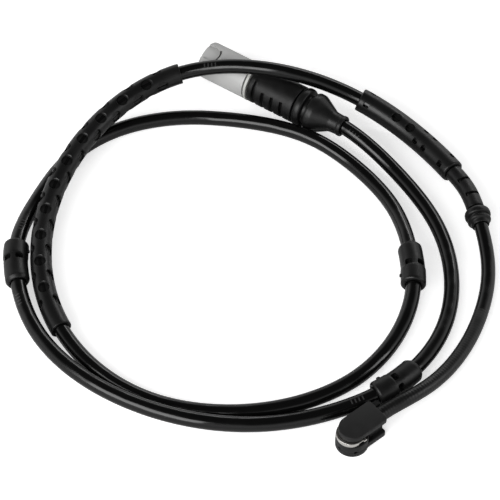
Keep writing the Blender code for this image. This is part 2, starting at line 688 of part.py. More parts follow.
def head_pieces(group, mats):
    """The probe head: its body, the spring plate, the cover and the sensing loop."""
    seat = bpy.data.objects.new("head seat", None)
    group.objects.link(seat)
    seat.location = (*HEAD_CENTRE, 0.0)
    seat.rotation_euler = (0.0, 0.0, HEAD_HEADING)

    root = math.degrees(math.asin(TAIL_HALF_WIDTH / HEAD_RADIUS))
    foot = arc((0.0, 0.0), HEAD_RADIUS, root, 360 - root, 20) + [
        (TAIL_LENGTH, -TAIL_HALF_WIDTH), (TAIL_LENGTH, TAIL_HALF_WIDTH),
    ]
    body = plate("head_body", foot, 0.0, TAIL_THICKNESS)
    place(body, group, mats["black body"], seat)
    drum = rod("head drum", (0.0, 0.0, 0.0), (0, 0, 1), HEAD_DECK, HEAD_RADIUS - REST_GAP)
    block = box(
        "cable block", (BLOCK_START, -BLOCK_HALF_WIDTH, TAIL_THICKNESS / 2),
        (BLOCK_START + BLOCK_LENGTH, BLOCK_HALF_WIDTH, BLOCK_TOP),
    )
    combine(body, as_tool(drum, seat), "UNION")
    combine(body, as_tool(block, seat), "UNION")
    pocket = rod("stem pocket", (0.0, 0.0, POCKET_FLOOR), (0, 0, 1), HEAD_DECK, POCKET_RADIUS)
    channel = rod(
        "cable channel", (CABLE_END_IN_HEAD - GAP, 0.0, CABLE_HEIGHT_IN_HEAD), (1, 0, 0),
        TAIL_LENGTH, TAIL_BORE,
    )
    slot = box(
        "wire slot", (STEM_RADIUS / 2, -WIRE_SLOT_HALF_WIDTH, POCKET_FLOOR),
        (CABLE_END_IN_HEAD + GAP, WIRE_SLOT_HALF_WIDTH, WIRE_SLOT_TOP),
    )
    for tool in (pocket, channel, slot):
        combine(body, as_tool(tool, seat), "DIFFERENCE")
    for index, turn in enumerate(PROBE_HOLE_TURNS):
        outward = Vector((math.cos(turn), math.sin(turn), 0.0))
        start = outward * (HEAD_RADIUS - PROBE_HOLE_DEPTH) + Vector((0.0, 0.0, PROBE_HOLE_HEIGHT))
        reach = PROBE_HOLE_DEPTH + OVERCUT
        hole = rod(f"probe hole {index}", start, outward, reach, PROBE_HOLE_RADIUS, SMALL_ROUND_STEPS)
        combine(body, as_tool(hole, seat), "DIFFERENCE")

    place(spring_piece(seat), group, mats["spring steel"], seat)

    lid = arc((0.0, 0.0), COVER_RADIUS, 90, 270, 20)
    corner_x = COVER_LENGTH - COVER_CORNER
    corner_y = COVER_RADIUS - COVER_CORNER
    lid += arc((corner_x, -corner_y), COVER_CORNER, 270, 360, 4)
    lid += arc((corner_x, corner_y), COVER_CORNER, 0, 90, 4)
    cover = plate("head_cover", lid, COVER_BASE, COVER_TOP)
    place(cover, group, mats["black body"], seat)
    edge = cover.modifiers.new("soft edge", "BEVEL")
    edge.width = COVER_EDGE
    edge.segments = 2
    edge.limit_method = "ANGLE"
    edge.angle_limit = math.radians(50.0)
    stem_length = COVER_BASE + COVER_THICKNESS / 2 - STEM_BASE
    stem = rod("cover stem", (0.0, 0.0, STEM_BASE), (0, 0, 1), stem_length, STEM_RADIUS)
    combine(cover, as_tool(stem, seat), "UNION")
    relief = rod(
        "cover relief", (BLOCK_START, 0.0, CABLE_HEIGHT_IN_HEAD), (1, 0, 0), TAIL_LENGTH, TAIL_BORE,
    )
    combine(cover, as_tool(relief, seat), "DIFFERENCE")

    loop = tube("sensing_loop", loop_points(), LOOP_RADIUS, WIRE_ROUND_STEPS)
    place(loop, group, mats["copper"], seat)


def spring_piece(seat):
    """The spring plate: round at the nose, open round the cable block, with one small tab."""
    inner = BLOCK_HALF_WIDTH + GAP
    web_end = BLOCK_START - GAP
    tab_start, tab_end = SPRING_TAB
    arm = SPRING_ARM_HALF_WIDTH
    outline = arc((-SPRING_NOSE_SHIFT, 0.0), SPRING_RADIUS, 90, 270, 20) + [
        (tab_start, -SPRING_RADIUS), (tab_start, -SPRING_TAB_REACH), (tab_end, -SPRING_TAB_REACH),
        (tab_end, -arm), (SPRING_ARM_END, -arm), (SPRING_ARM_END, -inner), (web_end, -inner),
        (web_end, inner), (SPRING_ARM_END, inner), (SPRING_ARM_END, arm),
    ]
    spring = plate("spring_clip", outline, SPRING_BASE, SPRING_TOP)
    hole = rod("stem hole", (0.0, 0.0, SPRING_BASE - OVERCUT), (0, 0, 1), 3 * OVERCUT, POCKET_RADIUS)
    combine(spring, as_tool(hole, seat), "DIFFERENCE")
    return spring


def loop_points():
    """The sensing wire: out from one core, round under the stem and back to the other."""
    wire_height = CABLE_HEIGHT_IN_HEAD - 3 * LOOP_RADIUS
    half = [
        (CABLE_END_IN_HEAD - GAP, LOOP_HALF_WIDTH, wire_height),
        (CABLE_END_IN_HEAD - 1.2 * MM, LOOP_HALF_WIDTH, wire_height - 0.25 * MM),
        (POCKET_RADIUS + 0.6 * MM, LOOP_HALF_WIDTH, LOOP_HEIGHT + 0.7 * MM),
        (POCKET_RADIUS, LOOP_HALF_WIDTH, LOOP_HEIGHT + 0.2 * MM),
        (STEM_RADIUS - 0.3 * MM, LOOP_HALF_WIDTH, LOOP_HEIGHT),
        (0.0, LOOP_HALF_WIDTH + 0.2 * MM, LOOP_HEIGHT),
        (-LOOP_NOSE * 0.7, LOOP_HALF_WIDTH * 0.8, LOOP_HEIGHT),
    ]
    return half + [(-LOOP_NOSE, 0.0, LOOP_HEIGHT)] + [(x, -y, z) for x, y, z in reversed(half)]


for leftover in list(bpy.data.objects):
    bpy.data.objects.remove(leftover)

PIECES = collection("brake pad wear sensor")
TOOLS = collection("cutters")
FINISHES = {
    "grey plug": finish("grey plug", (0.38, 0.38, 0.38), 0.5),
    "grey insert": finish("grey insert", (0.3, 0.3, 0.3), 0.5),
    "pale seal": finish("pale seal", (0.55, 0.55, 0.53), 0.4),
    "orange seal": finish("orange seal", (0.5, 0.12, 0.02), 0.5),
    "tinned terminal": finish("tinned terminal", (0.6, 0.6, 0.58), 0.3, 1.0),
    "core": finish("core", (0.25, 0.09, 0.03), 0.45),
    "copper": finish("copper", (0.7, 0.3, 0.16), 0.3, 1.0),
    "spring steel": finish("spring steel", (0.55, 0.55, 0.56), 0.3, 1.0),
    "black body": finish("black body", (0.014, 0.014, 0.014), 0.55),
    "black rubber": finish("black rubber", (0.012, 0.012, 0.012), 0.6),
    "black sleeve": finish("black sleeve", (0.011, 0.011, 0.011), 0.6),
    "cable": finish("cable", (0.006, 0.006, 0.006), 0.25),
}
CABLE_ROUTE = Route([[value * MM for value in point] for point in ROUTE_MM], CABLE_STEPS)
connector_pieces(PIECES, FINISHES)
cable_pieces(PIECES, FINISHES, CABLE_ROUTE)
head_pieces(PIECES, FINISHES)
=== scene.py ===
"""Looks of the brake pad wear sensor: its cable, sleeves, clips, connector and probe head.

The solids come from the frame. Every piece that shows is modelled here in its finer shape at
the place of its solid, in metres. Sections are lists of (station, radius): the station runs
along the connector's axis from the plug's front face, or along the cable from the end of its
jacket inside the boot.
"""
import logging
import math
from dataclasses import dataclass, field
from enum import Enum
from typing import Any, Sequence

import bmesh
import bpy
import numpy as np
from mathutils import Matrix, Vector

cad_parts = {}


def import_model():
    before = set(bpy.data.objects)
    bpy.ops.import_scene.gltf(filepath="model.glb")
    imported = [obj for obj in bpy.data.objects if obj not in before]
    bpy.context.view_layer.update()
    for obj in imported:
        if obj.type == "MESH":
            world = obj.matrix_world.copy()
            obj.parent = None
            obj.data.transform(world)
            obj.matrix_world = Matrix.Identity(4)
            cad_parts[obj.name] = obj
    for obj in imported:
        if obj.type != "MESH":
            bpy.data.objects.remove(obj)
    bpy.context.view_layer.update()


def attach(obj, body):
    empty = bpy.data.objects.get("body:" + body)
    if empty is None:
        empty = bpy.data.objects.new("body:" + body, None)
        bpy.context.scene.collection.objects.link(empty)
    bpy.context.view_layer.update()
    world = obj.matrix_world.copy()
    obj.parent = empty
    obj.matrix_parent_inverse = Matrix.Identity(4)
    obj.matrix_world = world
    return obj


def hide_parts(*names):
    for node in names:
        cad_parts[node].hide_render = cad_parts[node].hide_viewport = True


LOG = logging.getLogger("sensor")
MM = 0.001
BODY = "root"
OVERCUT = 2.0 * MM
SHARP_TURN = math.radians(38.0)
TURNED_SIDES = 96
SLEEVE_SIDES = 64
BORE_SIDES = 48
CUTTER_SIDES = 28
FORWARD = Vector((1.0, 0.0, 0.0))
UP = Vector((0.0, 0.0, 1.0))

Object = bpy.types.Object
Tree = bpy.types.NodeTree
Socket = bpy.types.NodeSocket
Section = list[tuple[float, float]]
Outline = list[tuple[float, float]]
# A section in millimetres.
Profile = tuple[tuple[float, float], ...]


class Surface(Enum):
    """How a surface was made. The value scales the pattern's axes: a small one draws it out."""

    MOULDED = (1.0, 1.0, 1.0)
    EXTRUDED = (0.25, 0.25, 1.0)
    ROLLED = (0.08, 1.0, 1.0)
    DRAWN = (0.2, 1.0, 1.0)


def linear(colour: str) -> tuple[float, float, float, float]:
    """Turn an sRGB hex colour into linear values.

    Args:
        colour: Six hex digits after a hash mark.

    Returns:
        Red, green, blue and an alpha of 1.
    """
    shares = [int(colour[i:i + 2], 16) / 255 for i in (1, 3, 5)]
    red, green, blue = (s / 12.92 if s <= 0.04045 else ((s + 0.055) / 1.055) ** 2.4 for s in shares)
    return red, green, blue, 1.0


def add_node(tree: Tree, kind: str, inputs: dict[Any, Any], **settings: Any) -> bpy.types.Node:
    """Add a node with its settings and links.

    Args:
        tree: The node tree that it goes in.
        kind: The node's type.
        inputs: Input name or number to a value, or to the output socket that feeds it.
        settings: Properties of the node itself.

    Returns:
        The new node.
    """
    node = tree.nodes.new(kind)
    for name, value in settings.items():
        setattr(node, name, value)
    for key, value in inputs.items():
        if isinstance(value, Socket):
            tree.links.new(value, node.inputs[key])
        else:
            node.inputs[key].default_value = value
    return node


def blank_material(name: str) -> tuple[bpy.types.Material, Tree, bpy.types.Node]:
    """Make a material and give back its node tree and its Principled shader.

    Args:
        name: The material's name.

    Returns:
        The material, its tree and the shader node.
    """
    made = bpy.data.materials.new(name)
    made.use_nodes = True
    return made, made.node_tree, made.node_tree.nodes["Principled BSDF"]


def arithmetic(tree: Tree, operation: str, *values: Any) -> Socket:
    """Add a math node for an operation on numbers or sockets, and give back its result."""
    return add_node(tree, "ShaderNodeMath", dict(enumerate(values)), operation=operation).outputs[0]


def noise(tree: Tree, place: Socket, size: float, detail: float) -> Socket:
    """Add a noise whose spots are about size metres across, and give back its value."""
    inputs = {"Vector": place, "Scale": 1 / size, "Detail": detail}
    return add_node(tree, "ShaderNodeTexNoise", inputs).outputs["Fac"]


def spread(tree: Tree, value: Socket, low: float, high: float) -> Socket:
    """Spread the usual range of a noise over low to high, and give back the result."""
    inputs = {"Value": value, "From Min": 0.3, "From Max": 0.7, "To Min": low, "To Max": high}
    return add_node(tree, "ShaderNodeMapRange", inputs).outputs["Result"]


def blend(tree: Tree, share: Socket, first: Any, second: Any) -> Socket:
    """Mix two colours, each a value or a socket, by a share, and give back the colour."""
    inputs = {"Factor": share, 6: first, 7: second}
    return add_node(tree, "ShaderNodeMix", inputs, data_type="RGBA").outputs[2]


def bump(tree: Tree, height: Socket, distance: float, **more: Socket) -> Socket:
    """Add a bump of a real height in metres, and give back its normal."""
    inputs = {"Height": height, "Strength": 1.0, "Distance": distance, **more}
    return add_node(tree, "ShaderNodeBump", inputs).outputs["Normal"]


def feed(tree: Tree, shader: bpy.types.Node, colour: Socket, rough: Socket, normal: Socket) -> None:
    """Link the colour, the roughness and the normal of a shader."""
    for name, socket in (("Base Color", colour), ("Roughness", rough), ("Normal", normal)):
        tree.links.new(socket, shader.inputs[name])


@dataclass(frozen=True)
class Finish:
    """A finish: the real material, how its surface was made, and what the eye gets from it.

    The grain is a real size in millimetres. One too fine for the render is drawn as coarse as
    it needs to show.
    """

    name: str
    colour: str
    tone: str
    roughness: float
    swing: float
    grain_mm: float
    relief_mm: float
    surface: Surface = Surface.MOULDED
    metallic: float = 0.0
    specular: float = 0.5

    def material(self) -> bpy.types.Material:
        """Give back this finish's material, made at its first use.

        Returns:
            The material.
        """
        if self.name in bpy.data.materials:
            return bpy.data.materials[self.name]
        made, tree, shader = blank_material(self.name)
        shader.inputs["Metallic"].default_value = self.metallic
        if not self.metallic:
            shader.inputs["Specular IOR Level"].default_value = self.specular
        place = add_node(tree, "ShaderNodeTexCoord", {}).outputs["Object"]
        inputs = {"Vector": place, "Scale": self.surface.value}
        drawn = add_node(tree, "ShaderNodeMapping", inputs).outputs["Vector"]
        cloud = noise(tree, drawn, 12 * self.grain_mm * MM, detail=2.0)
        colour = blend(tree, cloud, linear(self.colour), linear(self.tone))
        rough = spread(tree, cloud, self.roughness - self.swing, self.roughness + self.swing)
        grain = noise(tree, drawn, self.grain_mm * MM, detail=3.0)
        feed(tree, shader, colour, rough, bump(tree, grain, self.relief_mm * MM))
        return made


# Glass-filled nylon, moulded: an even charcoal with a faint fleck, dull on flat faces.
MOULDED_NYLON = Finish(
    "glass-filled nylon, moulded", "#0F0F0F", "#151515",
    roughness=0.44, swing=0.06, grain_mm=0.28, relief_mm=0.012, specular=0.24,
)
# The probe's cover, moulded in the same nylon from a finer tool: a plain flat charcoal.
FINE_NYLON = Finish(
    "glass-filled nylon, fine moulded", "#191919", "#1D1D1D",
    roughness=0.52, swing=0.05, grain_mm=0.22, relief_mm=0.008, specular=0.22,
)
# EPDM rubber, moulded: soft black with a broad dim sheen on its round shoulders.
MOULDED_RUBBER = Finish(
    "EPDM rubber, moulded", "#0D0D0D", "#131313",
    roughness=0.36, swing=0.06, grain_mm=0.35, relief_mm=0.014, specular=0.26,
)
# EPDM sleeve, extruded: the same rubber, a little smoother and with the draw of the die.
EXTRUDED_RUBBER = Finish(
    "EPDM rubber, extruded", "#0D0D0D", "#121212",
    roughness=0.34, swing=0.06, grain_mm=0.3, relief_mm=0.012, surface=Surface.EXTRUDED, specular=0.28,
)
# PBT, moulded: a light satin grey with hardly any texture.
MOULDED_PBT = Finish(
    "PBT, moulded", "#AFAFAE", "#B6B6B5",
    roughness=0.42, swing=0.05, grain_mm=0.25, relief_mm=0.006,
)
# PBT of the insert, a shade darker and duller.
INSERT_PBT = Finish(
    "PBT insert, moulded", "#8A8A89", "#939392",
    roughness=0.5, swing=0.05, grain_mm=0.25, relief_mm=0.008,
)
# Silicone, moulded: a pale grey that looks soft at its edge.
PALE_SILICONE = Finish(
    "silicone, moulded pale", "#B4B4B1", "#BEBEBA",
    roughness=0.35, swing=0.05, grain_mm=0.4, relief_mm=0.006,
)
# Silicone of the wire seal: a dull orange.
ORANGE_SILICONE = Finish(
    "silicone, moulded orange", "#B8571C", "#C4642A",
    roughness=0.4, swing=0.05, grain_mm=0.4, relief_mm=0.006,
)
# Spring steel, cold rolled: bright, with fine lines along the strip.
ROLLED_STEEL = Finish(
    "spring steel, cold rolled", "#C9C6C2", "#D8D6D2",
    roughness=0.24, swing=0.05, grain_mm=0.35, relief_mm=0.006, surface=Surface.ROLLED, metallic=1.0,
)
# Tinned bronze, drawn: silvery and slightly dull.
TINNED_BRONZE = Finish(
    "tin-plated bronze, drawn", "#B9B7B0", "#C8C6C0",
    roughness=0.28, swing=0.06, grain_mm=0.3, relief_mm=0.005, surface=Surface.DRAWN, metallic=1.0,
)
# Copper wire, drawn: warm and bright.
DRAWN_COPPER = Finish(
    "copper, drawn", "#C8794F", "#D38A60",
    roughness=0.28, swing=0.05, grain_mm=0.3, relief_mm=0.004, surface=Surface.DRAWN, metallic=1.0,
)
# PVC core insulation, extruded: a smooth brown.
CORE_PVC = Finish(
    "PVC core insulation, extruded", "#5E3A22", "#6B452B",
    roughness=0.4, swing=0.04, grain_mm=0.3, relief_mm=0.004, surface=Surface.EXTRUDED,
)


@dataclass(frozen=True)
class JacketFinish:
    """The cable's jacket: glossy extruded PVC, with a dull ribbed stretch before the probe head.

    The eye gets long soft highlights that waver a little, since an extruded jacket is never
    quite round, and groups of short pale ticks. The ribs are about 0.5 mm apart on the real
    jacket, and are drawn at 1.0 mm so that they show.
    """

    name: str = "PVC jacket, extruded"
    colour: str = "#070707"
    dull_colour: str = "#0C0C0C"
    tick_colour: str = "#303030"
    gloss: float = 0.16
    dull: float = 0.36
    specular: float = 0.35
    rib_pitch: float = 1.0 * MM
    rib_height: float = 0.012 * MM
    ribbed_from: float = 955.0 * MM
    rib_fade: float = 1.5 * MM
    haze_size: float = 5.0 * MM
    waver_size: float = 9.0 * MM
    waver_height: float = 0.35 * MM
    tick_pitch: float = 1.25 * MM
    tick_width: float = 0.45 * MM
    tick_count: int = 4
    tick_half_turn: float = math.radians(17.0)
    tick_places: tuple[tuple[float, float], ...] = (
        (25.0 * MM, math.radians(50.0)), (156.5 * MM, math.radians(100.0)),
        (282.5 * MM, math.radians(122.0)), (313.5 * MM, math.radians(80.0)),
        (796.0 * MM, math.radians(68.0)),
    )

    def ticks(self, tree: Tree, station: Socket, turn: Socket) -> Socket:
        """Give 1 on the short pale ticks and 0 elsewhere.

        Args:
            tree: The node tree.
            station: The socket with the distance along the cable.
            turn: The socket with the angle round the cable.

        Returns:
            The socket that carries the ticks.
        """
        total = None
        half = self.tick_pitch * self.tick_count / 2
        for start, facing in self.tick_places:
            along = arithmetic(tree, "COMPARE", station, start + half, half)
            across = arithmetic(tree, "COMPARE", turn, facing, self.tick_half_turn)
            both = arithmetic(tree, "MULTIPLY", along, across)
            total = both if total is None else arithmetic(tree, "MAXIMUM", total, both)
        beat = arithmetic(tree, "MODULO", station, self.tick_pitch)
        line = arithmetic(tree, "COMPARE", beat, self.tick_pitch / 2, self.tick_width / 2)
        return arithmetic(tree, "MULTIPLY", total, line)

    def material(self) -> bpy.types.Material:
        """Make the jacket's material from the station and turn that its mesh carries.

        Returns:
            The material.
        """
        made, tree, shader = blank_material(self.name)
        shader.inputs["Specular IOR Level"].default_value = self.specular
        station = add_node(tree, "ShaderNodeAttribute", {}, attribute_name="station").outputs["Fac"]
        turn = add_node(tree, "ShaderNodeAttribute", {}, attribute_name="turn").outputs["Fac"]
        place = add_node(tree, "ShaderNodeTexCoord", {}).outputs["Object"]
        tail = add_node(tree, "ShaderNodeMapRange", {
            "Value": station, "From Min": self.ribbed_from, "From Max": self.ribbed_from + self.rib_fade,
        }).outputs["Result"]
        base = blend(tree, tail, linear(self.colour), linear(self.dull_colour))
        colour = blend(tree, self.ticks(tree, station, turn), base, linear(self.tick_colour))
        haze = noise(tree, place, self.haze_size, detail=3.0)
        gloss = spread(tree, haze, self.gloss - 0.03, self.gloss + 0.05)
        rough = add_node(tree, "ShaderNodeMix", {0: tail, 2: gloss, 3: self.dull}).outputs[0]
        wave = arithmetic(tree, "SINE", arithmetic(tree, "MULTIPLY", station, math.tau / self.rib_pitch))
        ribs = arithmetic(tree, "MULTIPLY", wave, tail)
        soft = bump(tree, noise(tree, place, self.waver_size, detail=1.0), self.waver_height)
        feed(tree, shader, colour, rough, bump(tree, ribs, self.rib_height, Normal=soft))
        return made


@dataclass
class StraightAxis:
    """A straight axis that sections are turned about."""

    origin: Vector
    direction: Vector

    def frame(self, station: float) -> tuple[Vector, Vector, Vector, Vector]:
        """Point, direction, side and up at a station.

        Args:
            station: The distance from the axis's origin.

        Returns:
            The four vectors; side is to the right of the direction, seen from above.
        """
        along = self.direction.normalized()
        helper = FORWARD if abs(along.z) > 0.95 else UP
        side = along.cross(helper).normalized()
        return self.origin + along * station, along, side, side.cross(along)


@dataclass
class CableRoute:
    """The cable's centreline: a smooth curve through chosen points, straight in boot and head."""

    chosen: tuple[tuple[float, float, float], ...] = (
        (2.0, 58.9, 7.05), (20.2, 46.2, 7.05), (26.7, 40.3, 6.3), (35.3, 31.4, 3.9), (40.4, 24.4, 3.1),
        (50.0, 5.0, 2.6), (50.5, -33.2, 2.8), (38.7, -54.2, 4.2), (27.5, -63.3, 4.2), (18.4, -67.3, 3.2),
        (-22.6, -74.3, 4.7), (-78.4, -39.3, 4.4), (-85.5, -20.5, 4.2), (-87.2, -2.9, 4.2), (-82.1, 17.1, 2.7),
        (-69.9, 38.9, 2.6), (-52.9, 50.8, 2.6), (-12.1, 52.4, 3.1), (13.1, 40.6, 4.6), (19.8, 35.4, 3.7),
        (26.7, 28.2, 3.0), (34.5, 16.4, 2.7), (40.0, -4.6, 4.2), (40.5, -20.8, 4.2), (23.2, -54.3, 2.6),
        (-43.7, -63.7, 2.6), (-70.9, -37.9, 3.8), (-71.0, 31.3, 8.2), (-34.8, 65.3, 13.7), (0.0, 63.4, 16.2),
        (25.8, 57.9, 8.6), (56.1, 28.3, 4.3), (59.9, 21.3, 4.4), (63.0, 9.4, 4.6), (65.3, -9.5, 2.6),
        (62.0, -29.1, 2.5), (43.8, -59.8, 4.3), (37.0, -65.4, 5.2), (29.2, -70.5, 4.9), (23.45, -75.2, 4.8),
    )
    radius: float = 2.5 * MM
    tail_radius: float = 2.3 * MM
    tail_from: float = 895.0 * MM
    run_in_boot: float = 22.6 * MM
    run_in_head: float = 7.4 * MM
    step: float = 1.5 * MM
    length: float = field(init=False)
    stations: np.ndarray = field(init=False)
    points: np.ndarray = field(init=False)

    def __post_init__(self) -> None:
        """Work out the even points of the centreline from the chosen ones."""
        fine = self.spline(np.array(self.chosen) * MM, 12)
        pieces = np.linalg.norm(np.diff(fine, axis=0), axis=1)
        along = np.concatenate([[0.0], np.cumsum(pieces)])
        self.length = float(along[-1])
        self.stations = np.linspace(0.0, self.length, int(self.length / self.step))
        points = np.stack([np.interp(self.stations, along, fine[:, k]) for k in range(3)], axis=1)
        resting = np.where(self.stations > self.tail_from, self.tail_radius, self.radius)
        points[:, 2] = np.maximum(points[:, 2], resting)
        self.points = points
        self.straighten(0.0, self.run_in_boot)
        self.straighten(self.length - self.run_in_head, self.length)

    def straighten(self, start: float, end: float) -> None:
        """Lay the points between two stations on one straight line."""
        first, last = self.at(start), self.at(end)
        for i, station in enumerate(self.stations):
            if start <= station <= end:
                self.points[i] = first.lerp(last, (station - start) / (end - start))

    @staticmethod
    def spline(knots: np.ndarray, per_mm: int) -> np.ndarray:
        """Work out a natural cubic spline.

        Args:
            knots: The points that it passes through.
            per_mm: How many points it gives for each millimetre.

        Returns:
            The points of the spline.
        """
        steps = np.linalg.norm(np.diff(knots, axis=0), axis=1)
        at = np.concatenate([[0.0], np.cumsum(steps)])
        system = np.eye(len(knots))
        target = np.zeros_like(knots)
        for i in range(1, len(knots) - 1):
            system[i, i - 1:i + 2] = steps[i - 1], 2 * (steps[i - 1] + steps[i]), steps[i]
            target[i] = 6 * ((knots[i + 1] - knots[i]) / steps[i] - (knots[i] - knots[i - 1]) / steps[i - 1])
        bend = np.linalg.solve(system, target)
        where = np.linspace(0.0, at[-1], int(at[-1] / MM * per_mm))
        cell = np.clip(np.searchsorted(at, where, side="right") - 1, 0, len(steps) - 1)
        left = (where - at[cell])[:, None]
        right = (at[cell + 1] - where)[:, None]
        step = steps[cell][:, None]
        return (
            (bend[cell] * right ** 3 + bend[cell + 1] * left ** 3) / (6 * step)
            + (knots[cell] / step - bend[cell] * step / 6) * right
            + (knots[cell + 1] / step - bend[cell + 1] * step / 6) * left
        )

    def at(self, station: float) -> Vector:
        """The point at a station."""
        return Vector([float(np.interp(station, self.stations, self.points[:, k])) for k in range(3)])

    def frame(self, station: float) -> tuple[Vector, Vector, Vector, Vector]:
        """Point, direction, side and up at a station.

        Args:
            station: The distance along the cable.

        Returns:
            The four vectors; side is to the right of the direction, seen from above.
        """
        reach = 2.0 * MM
        low, high = max(0.0, station - reach), min(self.length, station + reach)
        along = (self.at(high) - self.at(low)).normalized()
        side = along.cross(UP).normalized()
        return self.at(station), along, side, side.cross(along)


Axis = StraightAxis | CableRoute


def outward_at(axis: Axis, station: float, turn: float) -> tuple[Vector, Vector]:
    """Give a point of an axis, and the direction that leaves it at an angle.

    Args:
        axis: The axis.
        station: Where the point lies along it.
        turn: The angle, from the axis's right side towards its top.

    Returns:
        The point and the direction.
    """
    point, _, side, up = axis.frame(station)
    return point, side * math.cos(turn) + up * math.sin(turn)


def shade(mesh: bpy.types.Mesh) -> None:
    """Shade a mesh smooth, but for its sharp edges."""
    mesh.shade_smooth()
    mesh.set_sharp_from_angle(angle=SHARP_TURN)


def finished_mesh(name: str, work: bmesh.types.BMesh) -> Object:
    """Turn a bmesh into a smooth-shaded object.

    Args:
        name: The object's name.
        work: The bmesh, which is freed.

    Returns:
        The object, linked to the scene.
    """
    bmesh.ops.recalc_face_normals(work, faces=work.faces)
    mesh = bpy.data.meshes.new(name)
    work.to_mesh(mesh)
    work.free()
    shade(mesh)
    made = bpy.data.objects.new(name, mesh)
    bpy.context.scene.collection.objects.link(made)
    return made


def soften(section: Section, reach: float, steps: int = 3, closed: bool = True) -> Section:
    """Round the corners of a section.

    Args:
        section: The corners.
        reach: How far from a corner its rounding starts.
        steps: How many points each rounding has.
        closed: Whether the last corner joins the first.

    Returns:
        The rounded section.
    """
    made: Section = []
    count = len(section)
    for i, corner in enumerate(section):
        if not closed and i in (0, count - 1):
            made.append(corner)
            continue
        here = Vector(corner)
        before = Vector(section[i - 1]) - here
        after = Vector(section[(i + 1) % count]) - here
        if before.angle(after) > math.radians(170.0):
            made.append(corner)
            continue
        start = here + before.normalized() * min(reach, 0.45 * before.length)
        end = here + after.normalized() * min(reach, 0.45 * after.length)
        for k in range(steps + 1):
            share = k / steps
            point = start.lerp(here, share).lerp(here.lerp(end, share), share)
            made.append((point.x, point.y))
    return made


def refine(section: Section, step: float, closed: bool = True) -> Section:
    """Add points to a section, so that it can follow a bent axis.

    Args:
        section: The section.
        step: The longest stretch along the axis that stays undivided.
        closed: Whether the last point joins the first.

    Returns:
        The section with its added points.
    """
    made: Section = []
    ends = section[1:] + section[:1] if closed else section[1:]
    for first, second in zip(section, ends):
        parts = max(1, math.ceil(abs(second[0] - first[0]) / step))
        made += [tuple(Vector(first).lerp(Vector(second), k / parts)) for k in range(parts)]
    return made if closed else made + [section[-1]]


def sweep(name: str, axis: Axis, section: Section, sides: int, closed: bool = True) -> Object:
    """Carry a section round an axis, straight or bent.

    Args:
        name: The object's name.
        axis: What gives the frame at each station.
        section: Stations and radii. An open section starts and ends at radius 0.
        sides: How many sides the round has.
        closed: Whether the section is a closed loop, as for a tube with a wall.

    Returns:
        The object, whose points carry their station and turn.
    """
    work = bmesh.new()
    station_layer = work.verts.layers.float.new("station")
    turn_layer = work.verts.layers.float.new("turn")
    rings = []
    for station, radius in section:
        point, _, side, up = axis.frame(station)
        ring = []
        for k in range(sides if radius > 0 else 1):
            turn = math.tau * k / sides
            corner = work.verts.new(point + (side * math.cos(turn) + up * math.sin(turn)) * radius)
            corner[station_layer] = station
            corner[turn_layer] = turn
            ring.append(corner)
        rings.append(ring)
    for first, second in zip(rings, rings[1:] + rings[:1] if closed else rings[1:]):
        for k in range(sides):
            after = (k + 1) % sides
            corners = [first[k % len(first)], first[after % len(first)]]
            corners += [second[after % len(second)], second[k % len(second)]]
            work.faces.new(list(dict.fromkeys(corners)))
    return finished_mesh(name, work)


def joined(name: str, things: Sequence[Object]) -> Object:
    """Put the meshes of several objects into one, and remove them.

    Args:
        name: The new object's name.
        things: The objects.

    Returns:
        The joined object.
    """
    work = bmesh.new()
    for thing in things:
        copy = thing.data.copy()
        copy.transform(thing.matrix_world)
        work.from_mesh(copy)
        bpy.data.meshes.remove(copy)
        bpy.data.objects.remove(thing)
    return finished_mesh(name, work)


def cut(target: Object, tool: Object, operation: str = "DIFFERENCE") -> Object:
    """Cut a tool out of an object, or join it on, and keep only the result.

    Args:
        target: The object that is changed.
        tool: The cutter, which is removed.
        operation: The Boolean modifier's operation.

    Returns:
        The changed object.

    Raises:
        ValueError: If nothing is left of the object.
    """
    change = target.modifiers.new("cut", "BOOLEAN")
    change.operation = operation
    change.solver = "EXACT"
    change.object = tool
    bpy.context.view_layer.update()
    evaluated = target.evaluated_get(bpy.context.evaluated_depsgraph_get())
    mesh = bpy.data.meshes.new_from_object(evaluated)
    if not mesh.polygons:
        raise ValueError(f"nothing is left of {target.name} after its cut")
    target.modifiers.clear()
    target.data = mesh
    shade(mesh)
    bpy.data.objects.remove(tool)
    return target


def seated(piece: Object, place: Vector, along: Vector, outward: Vector) -> Object:
    """Move a piece so that its X axis runs along and its Z axis points outward.

    Args:
        piece: The piece.
        place: Where its origin goes.
        along: The direction of its X axis.
        outward: The direction of its Z axis.

    Returns:
        The piece.
    """
    across = outward.cross(along).normalized()
    turned = Matrix((along, across, outward)).transposed().to_4x4()
    piece.data.transform(Matrix.Translation(place) @ turned)
    return piece


def round_cutter(place: Vector, outward: Vector, depth: float, radius: float, flare: float) -> Object:
    """Make a round cutter whose mouth flares at the surface, which leaves a soft rim.

    Args:
        place: The hole's centre at the surface.
        outward: The way that the hole faces.
        depth: How deep it goes.
        radius: The hole's radius.
        flare: How much wider its mouth is, and how deep the widening goes.

    Returns:
        The cutter.
    """
    section = [
        (-depth, 0.0), (-depth, radius), (-flare, radius), (-0.35 * flare, radius + 0.3 * flare),
        (0.25 * flare, radius + flare), (OVERCUT, radius + flare), (OVERCUT, 0.0),
    ]
    return sweep("round cutter", StraightAxis(place, outward), section, CUTTER_SIDES, closed=False)


